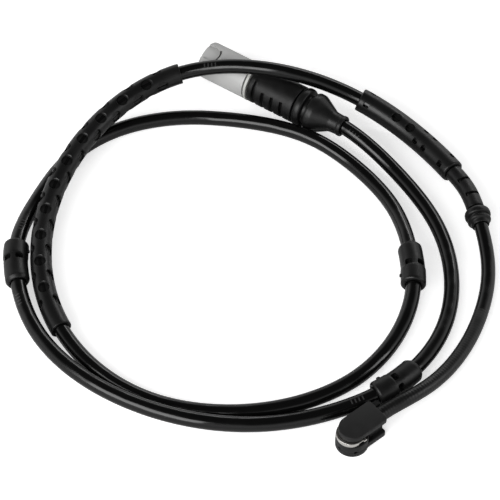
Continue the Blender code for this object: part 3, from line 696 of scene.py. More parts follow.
def slot_cutter(
    place: Vector, outward: Vector, along: Vector, size: tuple[float, float], depth: float,
) -> Object:
    """Make a cutter for a slot with rounded corners.

    Args:
        place: The slot's centre at the surface.
        outward: The way that it faces.
        along: The direction of its first side.
        size: Its length along that direction, and its width.
        depth: How deep it goes.

    Returns:
        The cutter.
    """
    long, wide = size[0] / 2, size[1] / 2
    outline = soften(rectangle(-long, -wide, long, wide), 0.3 * min(size), 3)
    return seated(slab("slot cutter", outline, -depth, OVERCUT), place, along, outward)


def slab(name: str, outline: Outline, low: float, high: float, edge: float = 0.0) -> Object:
    """Make a flat plate with soft edges.

    Args:
        name: The object's name.
        outline: The corners in the XY plane.
        low: The underside's height.
        high: The top's height.
        edge: The rounding of the rims, or 0 for none.

    Returns:
        The plate.
    """
    work = bmesh.new()
    face = work.faces.new([work.verts.new((x, y, low)) for x, y in outline])
    grown = bmesh.ops.extrude_face_region(work, geom=[face])
    top = [item for item in grown["geom"] if isinstance(item, bmesh.types.BMVert)]
    bmesh.ops.translate(work, verts=top, vec=(0.0, 0.0, high - low))
    if edge:
        rims = [e for e in work.edges if abs(e.verts[0].co.z - e.verts[1].co.z) < 0.1 * (high - low)]
        bmesh.ops.bevel(work, geom=rims, offset=edge, segments=3, profile=0.5, affect="EDGES")
    return finished_mesh(name, work)


def rectangle(left: float, low: float, right: float, high: float) -> Outline:
    """Give the corners of a rectangle from its four sides."""
    return [(left, low), (right, low), (right, high), (left, high)]


def solid_round(start: float, end: float, radius: float) -> Section:
    """Give the section of a solid round bar between two stations."""
    return [(start, 0.0), (start, radius), (end, radius), (end, 0.0)]


def in_metres(profile: Profile, start: float = 0.0) -> Section:
    """Turn a profile in millimetres into metres, moved along to a start."""
    return [(start + station * MM, radius * MM) for station, radius in profile]


def arc(centre: tuple[float, float], radius: float, start: float, end: float, steps: int) -> Outline:
    """Give the points of a circular arc.

    Args:
        centre: The arc's centre.
        radius: Its radius.
        start: The first angle in degrees.
        end: The last angle in degrees.
        steps: How many stretches it has.

    Returns:
        The points.
    """
    angles = [math.radians(start + (end - start) * i / steps) for i in range(steps + 1)]
    return [(centre[0] + radius * math.cos(a), centre[1] + radius * math.sin(a)) for a in angles]


def install(piece: Object, finish: Finish | JacketFinish, node: str) -> Object:
    """Dress a piece, let it ride, and hide the solid that it stands for.

    Args:
        piece: The piece.
        finish: Its finish.
        node: The solid.

    Returns:
        The piece.
    """
    piece.data.materials.clear()
    piece.data.materials.append(finish.material())
    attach(piece, BODY)
    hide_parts(node)
    LOG.info("made %s with %s", piece.name, finish.name)
    return piece


def dress(node: str, finish: Finish) -> None:
    """Give a solid that keeps its own shape a finish."""
    bpy.data.objects[node].material_slots[0].material = finish.material()
    LOG.info("dressed %s with %s", node, finish.name)


@dataclass
class Cable:
    """The jacket and the pieces that sit on it."""

    route: CableRoute
    gap: float = 0.3 * MM
    jacket_finish: JacketFinish = field(default_factory=JacketFinish)
    jacket_sides: int = 40
    clip_radius: float = 4.1 * MM
    clip_length: float = 16.0 * MM
    clip_centres: tuple[float, ...] = (301.0 * MM, 509.0 * MM, 144.5 * MM)
    clip_turns: tuple[tuple[float, float], ...] = ((68.0, 130.0), (67.0, 129.0), (88.0, 150.0))
    clip_slot: tuple[float, float] = (2.1 * MM, 2.6 * MM)
    clip_slot_shift: float = 0.8 * MM
    clip_step: float = 0.16 * MM
    clip_nose: tuple[float, float] = (1.1 * MM, 0.9 * MM)
    clip_ramp: float = 0.25 * MM
    clip_edge: float = 0.5 * MM
    clip_sides: int = 56
    slot_depth: float = 1.5 * MM
    lug_share: float = 0.79
    lug_turn: float = math.radians(58.0)
    lug_sink: float = 0.5 * MM
    lug_profile: Profile = ((0.0, 0.0), (0.0, 0.75), (0.75, 0.65), (0.95, 0.4), (1.0, 0.0))
    vented_start: float = 665.0 * MM
    vented_length: float = 123.0 * MM
    vented_radius: float = 3.5 * MM
    vented_wall: float = 0.9 * MM
    vent_radius: float = 1.9 * MM
    vent_pitch: float = 10.5 * MM
    vent_first: float = 10.2 * MM
    vent_rings: int = 21
    vent_depth: float = 0.95 * MM
    vent_flare: float = 0.55 * MM
    vents_round: int = 3
    vent_lean: tuple[float, float] = (math.radians(10.0), math.radians(-24.0))
    guide_start: float = 851.7 * MM
    guide_length: float = 43.3 * MM
    guide_radius: float = 4.0 * MM
    guide_windows: tuple[float, ...] = (3.3 * MM, 26.4 * MM, 30.6 * MM, 39.5 * MM)
    guide_window: tuple[float, float] = (2.1 * MM, 2.1 * MM)
    guide_window_turn: float = math.radians(39.0)
    guide_holes: tuple[float, ...] = (15.3 * MM, 21.7 * MM)
    guide_hole_turn: float = math.radians(74.0)
    guide_hole_radius: float = 1.7 * MM
    guide_hole_flare: float = 0.2 * MM
    protector_length: float = 17.9 * MM
    protector_wall: float = 0.4 * MM
    protector_gap: float = 0.25 * MM
    protector_slots: tuple[float, ...] = (6.0 * MM, 12.8 * MM)
    protector_slot: tuple[float, float] = (1.1 * MM, 4.6 * MM)
    protector_slot_turn: float = math.radians(103.0)
    protector_notch: tuple[float, float] = (1.7 * MM, 1.3 * MM)
    protector_notch_turn: float = math.radians(58.0)
    protector_slot_depth: float = 1.6 * MM
    grommet_standoff: float = 0.8 * MM
    grommet_length: float = 6.2 * MM
    grommet_profile: Profile = (
        (0.0, 3.3), (0.6, 4.05), (1.3, 4.3), (2.5, 4.3), (2.9, 3.8), (2.9, 3.3), (3.7, 3.3), (3.7, 3.9),
        (4.5, 3.9), (4.9, 3.3), (5.0, 3.1), (6.2, 2.9),
    )

    def build(self) -> None:
        made = [*self.clips(), self.vented_sleeve(), self.guide_sleeve(), self.protector(), self.grommet()]
        jacket = self.jacket()
        self.route.at(self.route.run_in_boot)

    def jacket(self) -> Object:
        """Make the jacket, a little thinner from the bend protector on.

        Returns:
            The jacket.
        """
        route = self.route
        section = [(0.0, 0.0)]
        for station in route.stations:
            thin = station > route.tail_from
            section.append((float(station), route.tail_radius if thin else route.radius))
        section.append((route.length, 0.0))
        made = sweep("glossy_jacket", route, section, self.jacket_sides, closed=False)
        return install(made, self.jacket_finish, "cable_jacket")

    def tube(
        self, name: str, start: float, length: float, radii: tuple[float, float], edge: float, sides: int,
    ) -> Object:
        """Make an open tube round the cable, with rounded ends.

        Args:
            name: The object's name.
            start: Its first station.
            length: Its length.
            radii: The outer and the inner radius.
            edge: How far its ends are rounded.
            sides: How many sides the round has.

        Returns:
            The tube.
        """
        outer, inner = radii
        corners = [(start, inner), (start, outer), (start + length, outer), (start + length, inner)]
        return sweep(name, self.route, refine(soften(corners, edge), step=1.0 * MM), sides)

    def slots_round(
        self, station: float, turns: Sequence[float], surface: float, size: tuple[float, float],
        depth: float,
    ) -> list[Object]:
        """Make slot cutters at several angles round the cable.

        Args:
            station: Where they lie.
            turns: Their angles.
            surface: The radius of the surface that they cut.
            size: Their length along the cable and their width.
            depth: How far they reach in from that surface.

        Returns:
            The cutters.
        """
        along = self.route.frame(station)[1]
        tools = []
        for turn in turns:
            point, outward = outward_at(self.route, station, turn)
            tools.append(slot_cutter(point + outward * surface, outward, along, size, depth))
        return tools

    def holes_round(
        self, station: float, turns: Sequence[float], surface: float, depth: float, radius: float,
        flare: float,
    ) -> list[Object]:
        """Make round cutters at several angles round the cable.

        Args:
            station: Where they lie.
            turns: Their angles.
            surface: The radius of the surface that they cut.
            depth: How far they reach in from that surface.
            radius: The radius of the holes.
            flare: How much wider their mouths are.

        Returns:
            The cutters.
        """
        tools = []
        for turn in turns:
            point, outward = outward_at(self.route, station, turn)
            tools.append(round_cutter(point + outward * surface, outward, depth, radius, flare))
        return tools

    def clips(self) -> list[Object]:
        """Make the three clips: a stepped tube with four slots round its middle and a small lug.

        Returns:
            The clips.
        """
        made = []
        bore = self.route.radius + self.gap / 2
        outer = self.clip_radius
        waist = outer - self.clip_step
        for index, (centre, facing) in enumerate(zip(self.clip_centres, self.clip_turns), start=1):
            start, end = centre - self.clip_length / 2, centre + self.clip_length / 2
            slot_at = centre + self.clip_slot_shift
            slot_end = slot_at + self.clip_slot[0] / 2
            corners = [
                (start, bore), (start, outer - self.clip_nose[1]), (start + self.clip_nose[0], waist),
                (slot_end, waist), (slot_end + self.clip_ramp, outer), (end - self.clip_edge, outer),
                (end, outer - self.clip_edge), (end, bore),
            ]
            section = refine(soften(corners, reach=0.22 * MM, steps=2), step=0.8 * MM)
            clip = sweep(f"clip_holder_{index}", self.route, section, self.clip_sides)
            turns = [math.radians(turn + opposite) for turn in facing for opposite in (0.0, 180.0)]
            slots = self.slots_round(slot_at, turns, outer, self.clip_slot, self.slot_depth)
            cut(clip, joined("clip slots", slots))
            lug = self.lug(start + self.lug_share * self.clip_length, turns[0] - self.lug_turn)
            cut(clip, lug, "UNION")
            made.append(install(clip, MOULDED_RUBBER, f"cable_clip_{index}"))
        return made

    def lug(self, station: float, turn: float) -> Object:
        """Make the small round lug on a clip.

        Args:
            station: Where it lies along the cable.
            turn: Its angle round the cable.

        Returns:
            The lug.
        """
        point, outward = outward_at(self.route, station, turn)
        seat = StraightAxis(point + outward * (self.clip_radius - self.lug_sink), outward)
        return sweep("lug", seat, in_metres(self.lug_profile), 20, closed=False)

    def vented_sleeve(self) -> Object:
        """Make the long sleeve with its rings of round vents.

        Returns:
            The sleeve.
        """
        outer = self.vented_radius
        sleeve = self.tube(
            "vented_sleeve", self.vented_start, self.vented_length, (outer, outer - self.vented_wall),
            edge=0.25 * MM, sides=SLEEVE_SIDES,
        )
        low, high = self.vent_lean
        tools = []
        for ring in range(self.vent_rings):
            station = self.vented_start + self.vent_first + ring * self.vent_pitch / 2
            lean = low + (high - low) * ring / (self.vent_rings - 1)
            first = math.pi / 2 + lean + (ring + 1) % 2 * math.pi / self.vents_round
            turns = [first + math.tau * k / self.vents_round for k in range(self.vents_round)]
            tools += self.holes_round(
                station, turns, outer, self.vent_depth, self.vent_radius, self.vent_flare,
            )
        cut(sleeve, joined("vents", tools))
        return install(sleeve, EXTRUDED_RUBBER, "perforated_sleeve")

    def guide_sleeve(self) -> Object:
        """Make the guide sleeve with its square windows and two round holes.

        Returns:
            The sleeve.
        """
        start, outer = self.guide_start, self.guide_radius
        inner = self.route.radius + self.gap / 2
        sleeve = self.tube(
            "windowed_guide", start, self.guide_length, (outer, inner), edge=0.7 * MM, sides=SLEEVE_SIDES,
        )
        tools = []
        turns = [self.guide_window_turn + k * math.pi / 2 for k in range(4)]
        for offset in self.guide_windows:
            tools += self.slots_round(start + offset, turns, outer, self.guide_window, self.slot_depth)
        turns = [self.guide_hole_turn, self.guide_hole_turn + math.pi]
        for offset in self.guide_holes:
            tools += self.holes_round(
                start + offset, turns, outer, outer - inner, self.guide_hole_radius, self.guide_hole_flare,
            )
        cut(sleeve, joined("guide windows", tools))
        return install(sleeve, EXTRUDED_RUBBER, "guide_sleeve")

    def protector(self) -> Object:
        """Make the thin bend protector with two pairs of slots, each with a notch at one end.

        Returns:
            The protector.
        """
        start = self.guide_start + self.guide_length + self.gap
        inner = self.route.tail_radius + self.protector_gap / 2
        outer = self.route.tail_radius + self.protector_gap + self.protector_wall
        piece = self.tube(
            "slotted_protector", start, self.protector_length, (outer, inner),
            edge=0.15 * MM, sides=BORE_SIDES,
        )
        # The slots and the notches overlap, so they are cut one after the other.
        for turn, size in (
            (self.protector_slot_turn, self.protector_slot),
            (self.protector_notch_turn, self.protector_notch),
        ):
            tools = []
            for offset in self.protector_slots:
                tools += self.slots_round(
                    start + offset, (turn, turn + math.pi), outer, size, self.protector_slot_depth,
                )
            cut(piece, joined("protector slots", tools))
        return install(piece, MOULDED_RUBBER, "bend_protector")

    def grommet(self) -> Object:
        """Make the grommet: a flange, the groove for its bracket, a ridge and a tip.

        Returns:
            The grommet.
        """
        start = self.guide_start + self.guide_length + self.gap + self.protector_length
        start += self.grommet_standoff
        bore = self.route.tail_radius + self.gap / 2
        corners = [(0.0, bore), *in_metres(self.grommet_profile), (self.grommet_length, bore)]
        first = self.route.at(start)
        seat = StraightAxis(first, self.route.at(start + self.grommet_length) - first)
        made = sweep("bracket_grommet", seat, soften(corners, reach=0.25 * MM), SLEEVE_SIDES)
        return install(made, MOULDED_RUBBER, "grommet")


@dataclass
class Connector:
    """The round two-pole plug with its body and boot, turned about one straight axis."""

    front: tuple[float, float] = (-26.4 * MM, 78.8 * MM)
    heading: float = math.radians(-35.0)
    height: float = 7.05 * MM
    gap: float = 0.3 * MM
    plug_radius: float = 6.6 * MM
    plug_length: float = 18.9 * MM
    rim_gap: float = 0.5 * MM
    plug_bore: float = 4.9 * MM
    plug_edge: float = 0.6 * MM
    keyway_width: float = 5.8 * MM
    keyway_length: float = 6.0 * MM
    keyway_floor: float = 5.5 * MM
    keyway_turn: float = math.radians(75.0)
    crescent_width: float = 0.7 * MM
    crescent_overlap: float = 0.05 * MM
    crescent_half: float = 40.0
    crescent_lifts: tuple[float, float] = (-0.5 * MM, 0.25 * MM)
    carrier_front: float = 1.0 * MM
    carrier_rear: float = 14.0 * MM
    carrier_radius: float = 4.6 * MM
    terminal_radius: float = 1.0 * MM
    terminal_offset: float = 2.1 * MM
    terminal_setback: float = 1.0 * MM
    terminal_profile: Profile = ((0.0, 0.55), (0.0, 0.8), (0.4, 1.0), (14.0, 1.0), (14.0, 0.55))
    rim_lip: float = 0.1 * MM
    body_front: float = 20.9 * MM
    body_rear: float = 38.9 * MM
    body_radius: float = 6.6 * MM
    body_bore: float = 3.7 * MM
    socket_front: float = 31.2 * MM
    socket_radius: float = 5.0 * MM
    grip_grooves: tuple[float, ...] = (23.4 * MM, 27.2 * MM, 31.0 * MM, 34.8 * MM)
    grip_groove_width: float = 1.2 * MM
    grip_groove_depth: float = 1.4 * MM
    grip_tops: tuple[float, ...] = (5.9 * MM, 3.6 * MM, 3.6 * MM, 3.6 * MM)
    grip_lip: float = 0.25 * MM
    grip_steps: int = 60
    grip_run_out: int = 3
    boot_front: float = 39.2 * MM
    boot_rear: float = 56.9 * MM
    spigot_length: float = 7.7 * MM
    spigot_radius: float = 4.7 * MM
    cable_bore: float = 2.65 * MM
    boot_profile: Profile = (
        (0.0, 5.9), (0.3, 6.6), (1.0, 7.0), (2.2, 7.0), (3.0, 6.6), (3.1, 5.0), (4.7, 5.0), (4.8, 6.5),
        (5.3, 6.9), (7.1, 6.85), (8.0, 6.4), (12.3, 4.1), (13.2, 3.65), (16.2, 3.45), (16.5, 3.65),
        (17.7, 3.6),
    )
    axis: StraightAxis = field(init=False)

    def __post_init__(self) -> None:
        """Set up the connector's axis."""
        along = Vector((math.cos(self.heading), math.sin(self.heading), 0.0))
        self.axis = StraightAxis(Vector((*self.front, self.height)), along)

    def build(self) -> None:
        """Make every piece of the connector that shows, and dress the ones inside it."""
        self.plug()
        self.carrier()
        self.terminals()
        self.rim()
        self.body()
        self.boot()
        self.inner_pieces()

    def place(self, station: float, across: float, up: float) -> Vector:
        """The point at a station, an offset to the right of the axis and a height above it."""
        point, _, side, rise = self.axis.frame(station)
        return point + side * across + rise * up

    def plug(self) -> None:
        """Make the plug's shell with its keyway and the raised crescent at the keyway's end."""
        length, outer, bore, edge = self.plug_length, self.plug_radius, self.plug_bore, self.plug_edge
        corners = [(0.0, bore), (0.0, outer - edge), (edge, outer), (length, outer), (length, bore)]
        section = refine(soften(corners, reach=0.3 * MM, steps=4), step=3.0 * MM)
        shell = sweep("plug_shell", self.axis, section, TURNED_SIDES)
        half = self.keyway_width / 2
        end = arc((self.keyway_length - half, 0.0), half, -90, 90, 24)
        outline = [(-OVERCUT, -half), *end, (-OVERCUT, half)]
        point, outward = outward_at(self.axis, 0.0, self.keyway_turn)
        tool = slab("keyway cutter", outline, bore * 0.55, outer + OVERCUT)
        seated(tool, point, self.axis.frame(0.0)[1], outward)
        core = solid_round(-2 * OVERCUT, length, self.keyway_floor)
        cut(tool, sweep("keyway floor", self.axis, core, TURNED_SIDES, closed=False))
        cut(shell, tool)
        cut(shell, self.crescent(half), "UNION")
        install(shell, MOULDED_PBT, "plug_housing")

    def crescent(self, half: float) -> Object:
        """Make the raised rim round the keyway's inner end.

        Args:
            half: Half the keyway's width.

        Returns:
            The rim, which is joined to the shell.
        """
        centre = (self.keyway_length - half, 0.0)
        reach = self.crescent_half
        outline = arc(centre, half + self.crescent_width, -reach, reach, 20)
        outline += arc(centre, half - self.crescent_overlap, reach, -reach, 20)
        work = bmesh.new()
        rings = []
        for lift in self.crescent_lifts:
            ring = []
            for x, y in outline:
                turn = self.keyway_turn - math.asin(y / self.plug_radius)
                radius = self.plug_radius + lift
                ring.append(work.verts.new(self.place(x, radius * math.cos(turn), radius * math.sin(turn))))
            rings.append(ring)
        count = len(outline)
        for k in range(count):
            after = (k + 1) % count
            work.faces.new((rings[0][k], rings[0][after], rings[1][after], rings[1][k]))
        for ring in rings:
            for k in range(count // 2 - 1):
                work.faces.new((ring[k], ring[k + 1], ring[count - 2 - k], ring[count - 1 - k]))
        return finished_mesh("crescent", work)

    def carrier(self) -> None:
        """Make the insert with the wells of the two terminals."""
        bar = solid_round(self.carrier_front, self.carrier_rear, self.carrier_radius)
        section = soften(bar, reach=0.3 * MM, closed=False)
        made = sweep("terminal_insert", self.axis, section, 72, closed=False)
        along = self.axis.frame(0.0)[1]
        depth = self.carrier_rear - self.carrier_front + OVERCUT
        tools = []
        for side in (-1, 1):
            mouth = self.place(self.carrier_front, side * self.terminal_offset, 0.0)
            tools.append(round_cutter(mouth, -along, depth, self.terminal_radius + self.gap, flare=0.3 * MM))
        cut(made, joined("wells", tools))
        install(made, INSERT_PBT, "terminal_carrier")

    def terminals(self) -> None:
        """Make the two socket terminals, each with a rolled mouth."""
        along = self.axis.frame(0.0)[1]
        front = self.carrier_front + self.terminal_setback
        section = soften(in_metres(self.terminal_profile), reach=0.12 * MM)
        # The solids number the terminals from the right of the axis, seen from above.
        for index, side in ((1, 1), (2, -1)):
            seat = StraightAxis(self.place(front, side * self.terminal_offset, 0.0), along)
            made = sweep(f"socket_terminal_{index}", seat, section, 32)
            install(made, TINNED_BRONZE, f"terminal_{index}")

    def rim(self) -> None:
        """Make the thin pale ring between the plug and the body."""
        start, end = self.plug_length + self.rim_gap, self.body_front - self.rim_gap
        outer = self.plug_radius + self.rim_lip
        corners = [(start, self.socket_radius), (start, outer), (end, outer), (end, self.socket_radius)]
        made = sweep("seal_rim", self.axis, soften(corners, reach=0.3 * MM, steps=4), TURNED_SIDES)
        install(made, PALE_SILICONE, "rim_ring")

    def body(self) -> None:
        """Make the black body: a plain crown, and rounded blocks between grooves below it."""
        front, rear, outer = self.body_front, self.body_rear, self.body_radius
        spigot = self.carrier_rear + self.gap
        corners = [
            (spigot, self.body_bore), (spigot, self.carrier_radius),
            (front, self.carrier_radius), (front, outer), (rear, outer), (rear, self.socket_radius),
            (self.socket_front, self.socket_radius), (self.socket_front, self.body_bore),
        ]
        section = refine(soften(corners, reach=0.4 * MM), step=2.0 * MM)
        made = sweep("gripped_body", self.axis, section, TURNED_SIDES)
        for station, top in zip(self.grip_grooves, self.grip_tops):
            cut(made, self.groove_cutter(station, top))
        install(made, MOULDED_NYLON, "connector_body")

    def groove_cutter(self, station: float, height: float) -> Object:
        """Make the cutter of one grip groove, which runs under the body and ends below its crown.

        Args:
            station: The groove's middle.
            height: How far above the axis it ends.

        Returns:
            The cutter.
        """
        half, lip = self.grip_groove_width / 2, self.grip_lip
        floor = self.body_radius - self.grip_groove_depth
        mouth = self.body_radius + lip / 5
        top = self.body_radius + OVERCUT
        section = [
            (-half, floor + lip), (-half, self.body_radius - lip), (-half - lip, mouth), (-half - lip, top),
            (half + lip, top), (half + lip, mouth), (half, self.body_radius - lip), (half, floor + lip),
            (half - lip, floor), (lip - half, floor),
        ]
        work = bmesh.new()
        reach = math.asin(height / self.body_radius)
        steps = self.grip_steps
        rings = []
        for k in range(steps + 1):
            turn = math.pi - reach + (math.pi + 2 * reach) * k / steps
            near = min(k, steps - k) / self.grip_run_out
            lift = 0.0 if near >= 1 else self.grip_groove_depth * (1 - math.sqrt(near * (2 - near)))
            ring = []
            for offset, radius in section:
                radius += lift if radius < self.body_radius else 0.0
                point, outward = outward_at(self.axis, station + offset, turn)
                ring.append(work.verts.new(point + outward * radius))
            rings.append(ring)
        count = len(section)
        for first, second in zip(rings, rings[1:]):
            for k in range(count):
                after = (k + 1) % count
                work.faces.new((first[k], first[after], second[after], second[k]))
        work.faces.new(rings[0])
        work.faces.new(rings[-1])
        return finished_mesh("grip groove", work)

    def boot(self) -> None:
        """Make the rubber boot: ring, groove, shoulder, cone, neck and the collar at its end."""
        front, rear = self.boot_front, self.boot_rear
        spigot = front - self.spigot_length
        corners = [
            (spigot, self.cable_bore), (spigot, self.spigot_radius), (front, self.spigot_radius),
            *in_metres(self.boot_profile, front), (rear, self.cable_bore),
        ]
        section = refine(soften(corners, reach=0.45 * MM, steps=4), step=2.0 * MM)
        made = sweep("cable_boot_shell", self.axis, section, TURNED_SIDES)
        install(made, MOULDED_RUBBER, "cable_boot")

    @staticmethod
    def inner_pieces() -> None:
        """Dress the solids inside the connector, which keep their own shapes."""
        dress("core_wire_1", CORE_PVC)
        dress("core_wire_2", CORE_PVC)
        dress("wire_seal", ORANGE_SILICONE)


@dataclass
class ProbeHead:
    """The probe head: its body, the spring plate, the cover and the sensing loop."""

    centre: tuple[float, float] = (19.2 * MM, -78.7 * MM)
    heading: float = math.radians(39.4)
    gap: float = 0.3 * MM
    radius: float = 5.1 * MM
    deck: float = 4.7 * MM
    drum_inset: float = 0.06 * MM
    drum_base: float = 0.2 * MM
    # A dark block beside the cable's exit, past the cover's end: painted shade that fills a gap where only
    # shade falls.
    shade_filler: tuple[float, float, float, float] = (9.3 * MM, 2.5 * MM, 13.6 * MM, 4.3 * MM)
    shade_filler_base: float = 4.3 * MM
    tail_root: float = 3.0 * MM
    tail_length: float = 10.0 * MM
    tail_thickness: float = 2.1 * MM
    tail_half: float = 4.3 * MM
    block_start: float = 4.2 * MM
    block_length: float = 5.6 * MM
    block_half: float = 3.0 * MM
    wire_slot_half: float = 1.6 * MM
    wire_slot_drop: float = 0.4 * MM
    hole_turns: tuple[float, float] = (math.radians(-118.0), math.radians(180.0))
    hole_height: float = 2.0 * MM
    hole_depth: float = 1.5 * MM
    hole_radius: float = 0.55 * MM
    spring_base: float = 5.7 * MM
    spring_top: float = 6.2 * MM
    spring_radius: float = 4.5 * MM
    spring_nose_shift: float = 0.6 * MM
    spring_arm_half: float = 3.8 * MM
    spring_arm_end: float = 7.5 * MM
    skirt_reach: tuple[float, float] = (0.02 * MM, 0.4 * MM)
    skirt_gap: float = 0.1 * MM
    skirt_sink: float = 0.15 * MM
    spring_tab: tuple[float, float, float] = (0.4 * MM, 1.5 * MM, 4.95 * MM)
    cover_base: float = 6.5 * MM
    cover_top: float = 8.6 * MM
    cover_radius: float = 4.3 * MM
    cover_length: float = 10.4 * MM
    cover_corner: float = 1.0 * MM
    stem_radius: float = 2.6 * MM
    stem_foot: float = 2.8 * MM
    pocket_floor: float = 1.4 * MM
    cable_height: float = 4.8 * MM
    cable_end: float = 5.5 * MM
    tail_bore: float = 2.45 * MM

    def placed(self, piece: Object) -> Object:
        """Move a piece from the head's own axes to its place."""
        turn = Matrix.Rotation(self.heading, 4, "Z")
        piece.data.transform(Matrix.Translation((*self.centre, 0.0)) @ turn)
        return piece

    def cable_cutter(self, start: float, length: float) -> Object:
        """Make a round cutter where the cable runs, from a place on the head's long axis."""
        axis = StraightAxis(Vector((start, 0.0, self.cable_height)), FORWARD)
        return sweep("cable cutter", axis, solid_round(0.0, length, self.tail_bore), BORE_SIDES, closed=False)

    def post(self, name: str, radius: float, low: float, high: float, edge: float = 0.0) -> Object:
        """Make an upright round post with a soft top rim.

        Args:
            name: The object's name.
            radius: Its radius.
            low: Its foot's height.
            high: Its top's height.
            edge: The rounding of its top.

        Returns:
            The post.
        """
        corners = solid_round(low, high, radius)
        if edge:
            corners = corners[:1] + soften(corners[1:], edge, 4, closed=False)
        return sweep(name, StraightAxis(Vector(), UP), corners, 72, closed=False)

    def build(self) -> None:
        """Make every piece of the probe head."""
        self.body()
        self.spring()
        self.cover()
        dress("sensing_loop", DRAWN_COPPER)

    def body(self) -> None:
        """Make the foot and drum with the block round the cable, the pocket and the two holes."""
        root = math.degrees(math.asin(self.tail_half / self.radius))
        foot = arc((0.0, 0.0), self.radius, root, 360 - root, 48)
        tail = rectangle(self.tail_root, -self.tail_half, self.tail_length, self.tail_half)
        foot += soften(tail, reach=0.8 * MM, steps=4, closed=False)[1:-1]
        made = slab("probe_body", foot, 0.0, self.tail_thickness, edge=0.18 * MM)
        drum = self.post("drum", self.radius - self.drum_inset, self.drum_base, self.deck, edge=0.3 * MM)
        cut(made, drum, "UNION")
        wide = self.block_half
        outline = rectangle(self.block_start, -wide, self.block_start + self.block_length, wide)
        roof = self.cover_base - self.gap
        outline = soften(outline, reach=0.5 * MM, steps=4)
        cut(made, slab("block", outline, self.tail_thickness / 2, roof, edge=0.15 * MM), "UNION")
        # The dark block past the cover's end is painted shade. It fills the gap between the cover, the third
        # clip and the cable, where only shade falls, and is not a part of the real head.
        shade_filler = soften(rectangle(*self.shade_filler), reach=0.4 * MM)
        cut(made, slab("cable nub", shade_filler, self.shade_filler_base, roof, edge=0.15 * MM), "UNION")
        cut(made, self.post("pocket", self.stem_radius + self.gap, self.pocket_floor, self.deck + OVERCUT))
        cut(made, self.cable_cutter(self.cable_end - self.gap, length=8.0 * MM))
        half = self.wire_slot_half
        wire_slot = rectangle(self.stem_radius / 2, -half, self.cable_end + self.gap, half)
        cut(made, slab("wire slot", wire_slot, self.pocket_floor, self.cable_height - self.wire_slot_drop))
        for turn in self.hole_turns:
            outward = Vector((math.cos(turn), math.sin(turn), 0.0))
            mouth = outward * self.radius + UP * self.hole_height
            cut(made, round_cutter(mouth, outward, self.hole_depth, self.hole_radius, flare=0.15 * MM))
        install(self.placed(made), MOULDED_NYLON, "head_body")

    def spring(self) -> None:
        """Make the bright spring plate: its turned-down nose, its two arms and the small tab."""
        inner = self.block_half + self.gap
        web = self.block_start - self.gap
        arm, end, radius = self.spring_arm_half, self.spring_arm_end, self.spring_radius
        tab_start, tab_end, reach = self.spring_tab
        middle = (-self.spring_nose_shift, 0.0)
        outline = arc(middle, radius, 90, 270, 48) + [
            (tab_start, -radius), (tab_start, -reach), (tab_end, -reach), (tab_end, -arm), (end, -arm),
            (end, -inner), (web, -inner), (web, inner), (end, inner), (end, arm),
        ]
        made = slab("spring_plate", outline, self.spring_base, self.spring_top, edge=0.1 * MM)
        outside, inside = self.skirt_reach
        skirt = arc(middle, radius - outside, 98, 262, 48) + arc(middle, radius - inside, 262, 98, 48)
        low, high = self.deck + self.skirt_gap, self.spring_top - self.skirt_sink
        cut(made, slab("spring skirt", skirt, low, high), "UNION")
        low, high = self.spring_base - OVERCUT, self.spring_top + OVERCUT
        cut(made, self.post("stem hole", self.stem_radius + self.gap, low, high))
        install(self.placed(made), ROLLED_STEEL, "spring_clip")

    def cover(self) -> None:
        """Make the flat cover with its soft edge and the stem under it."""
        corner = self.cover_corner
        x, y = self.cover_length - corner, self.cover_radius - corner
        outline = arc((0.0, 0.0), self.cover_radius, 90, 270, 48)
        outline += arc((x, -y), corner, 270, 360, 8) + arc((x, y), corner, 0, 90, 8)
        made = slab("probe_cover", outline, self.cover_base, self.cover_top, edge=0.28 * MM)
        middle = (self.cover_base + self.cover_top) / 2
        cut(made, self.post("stem", self.stem_radius, self.stem_foot, middle), "UNION")
        cut(made, self.cable_cutter(self.block_start, length=9.0 * MM))
        install(self.placed(made), FINE_NYLON, "head_cover")


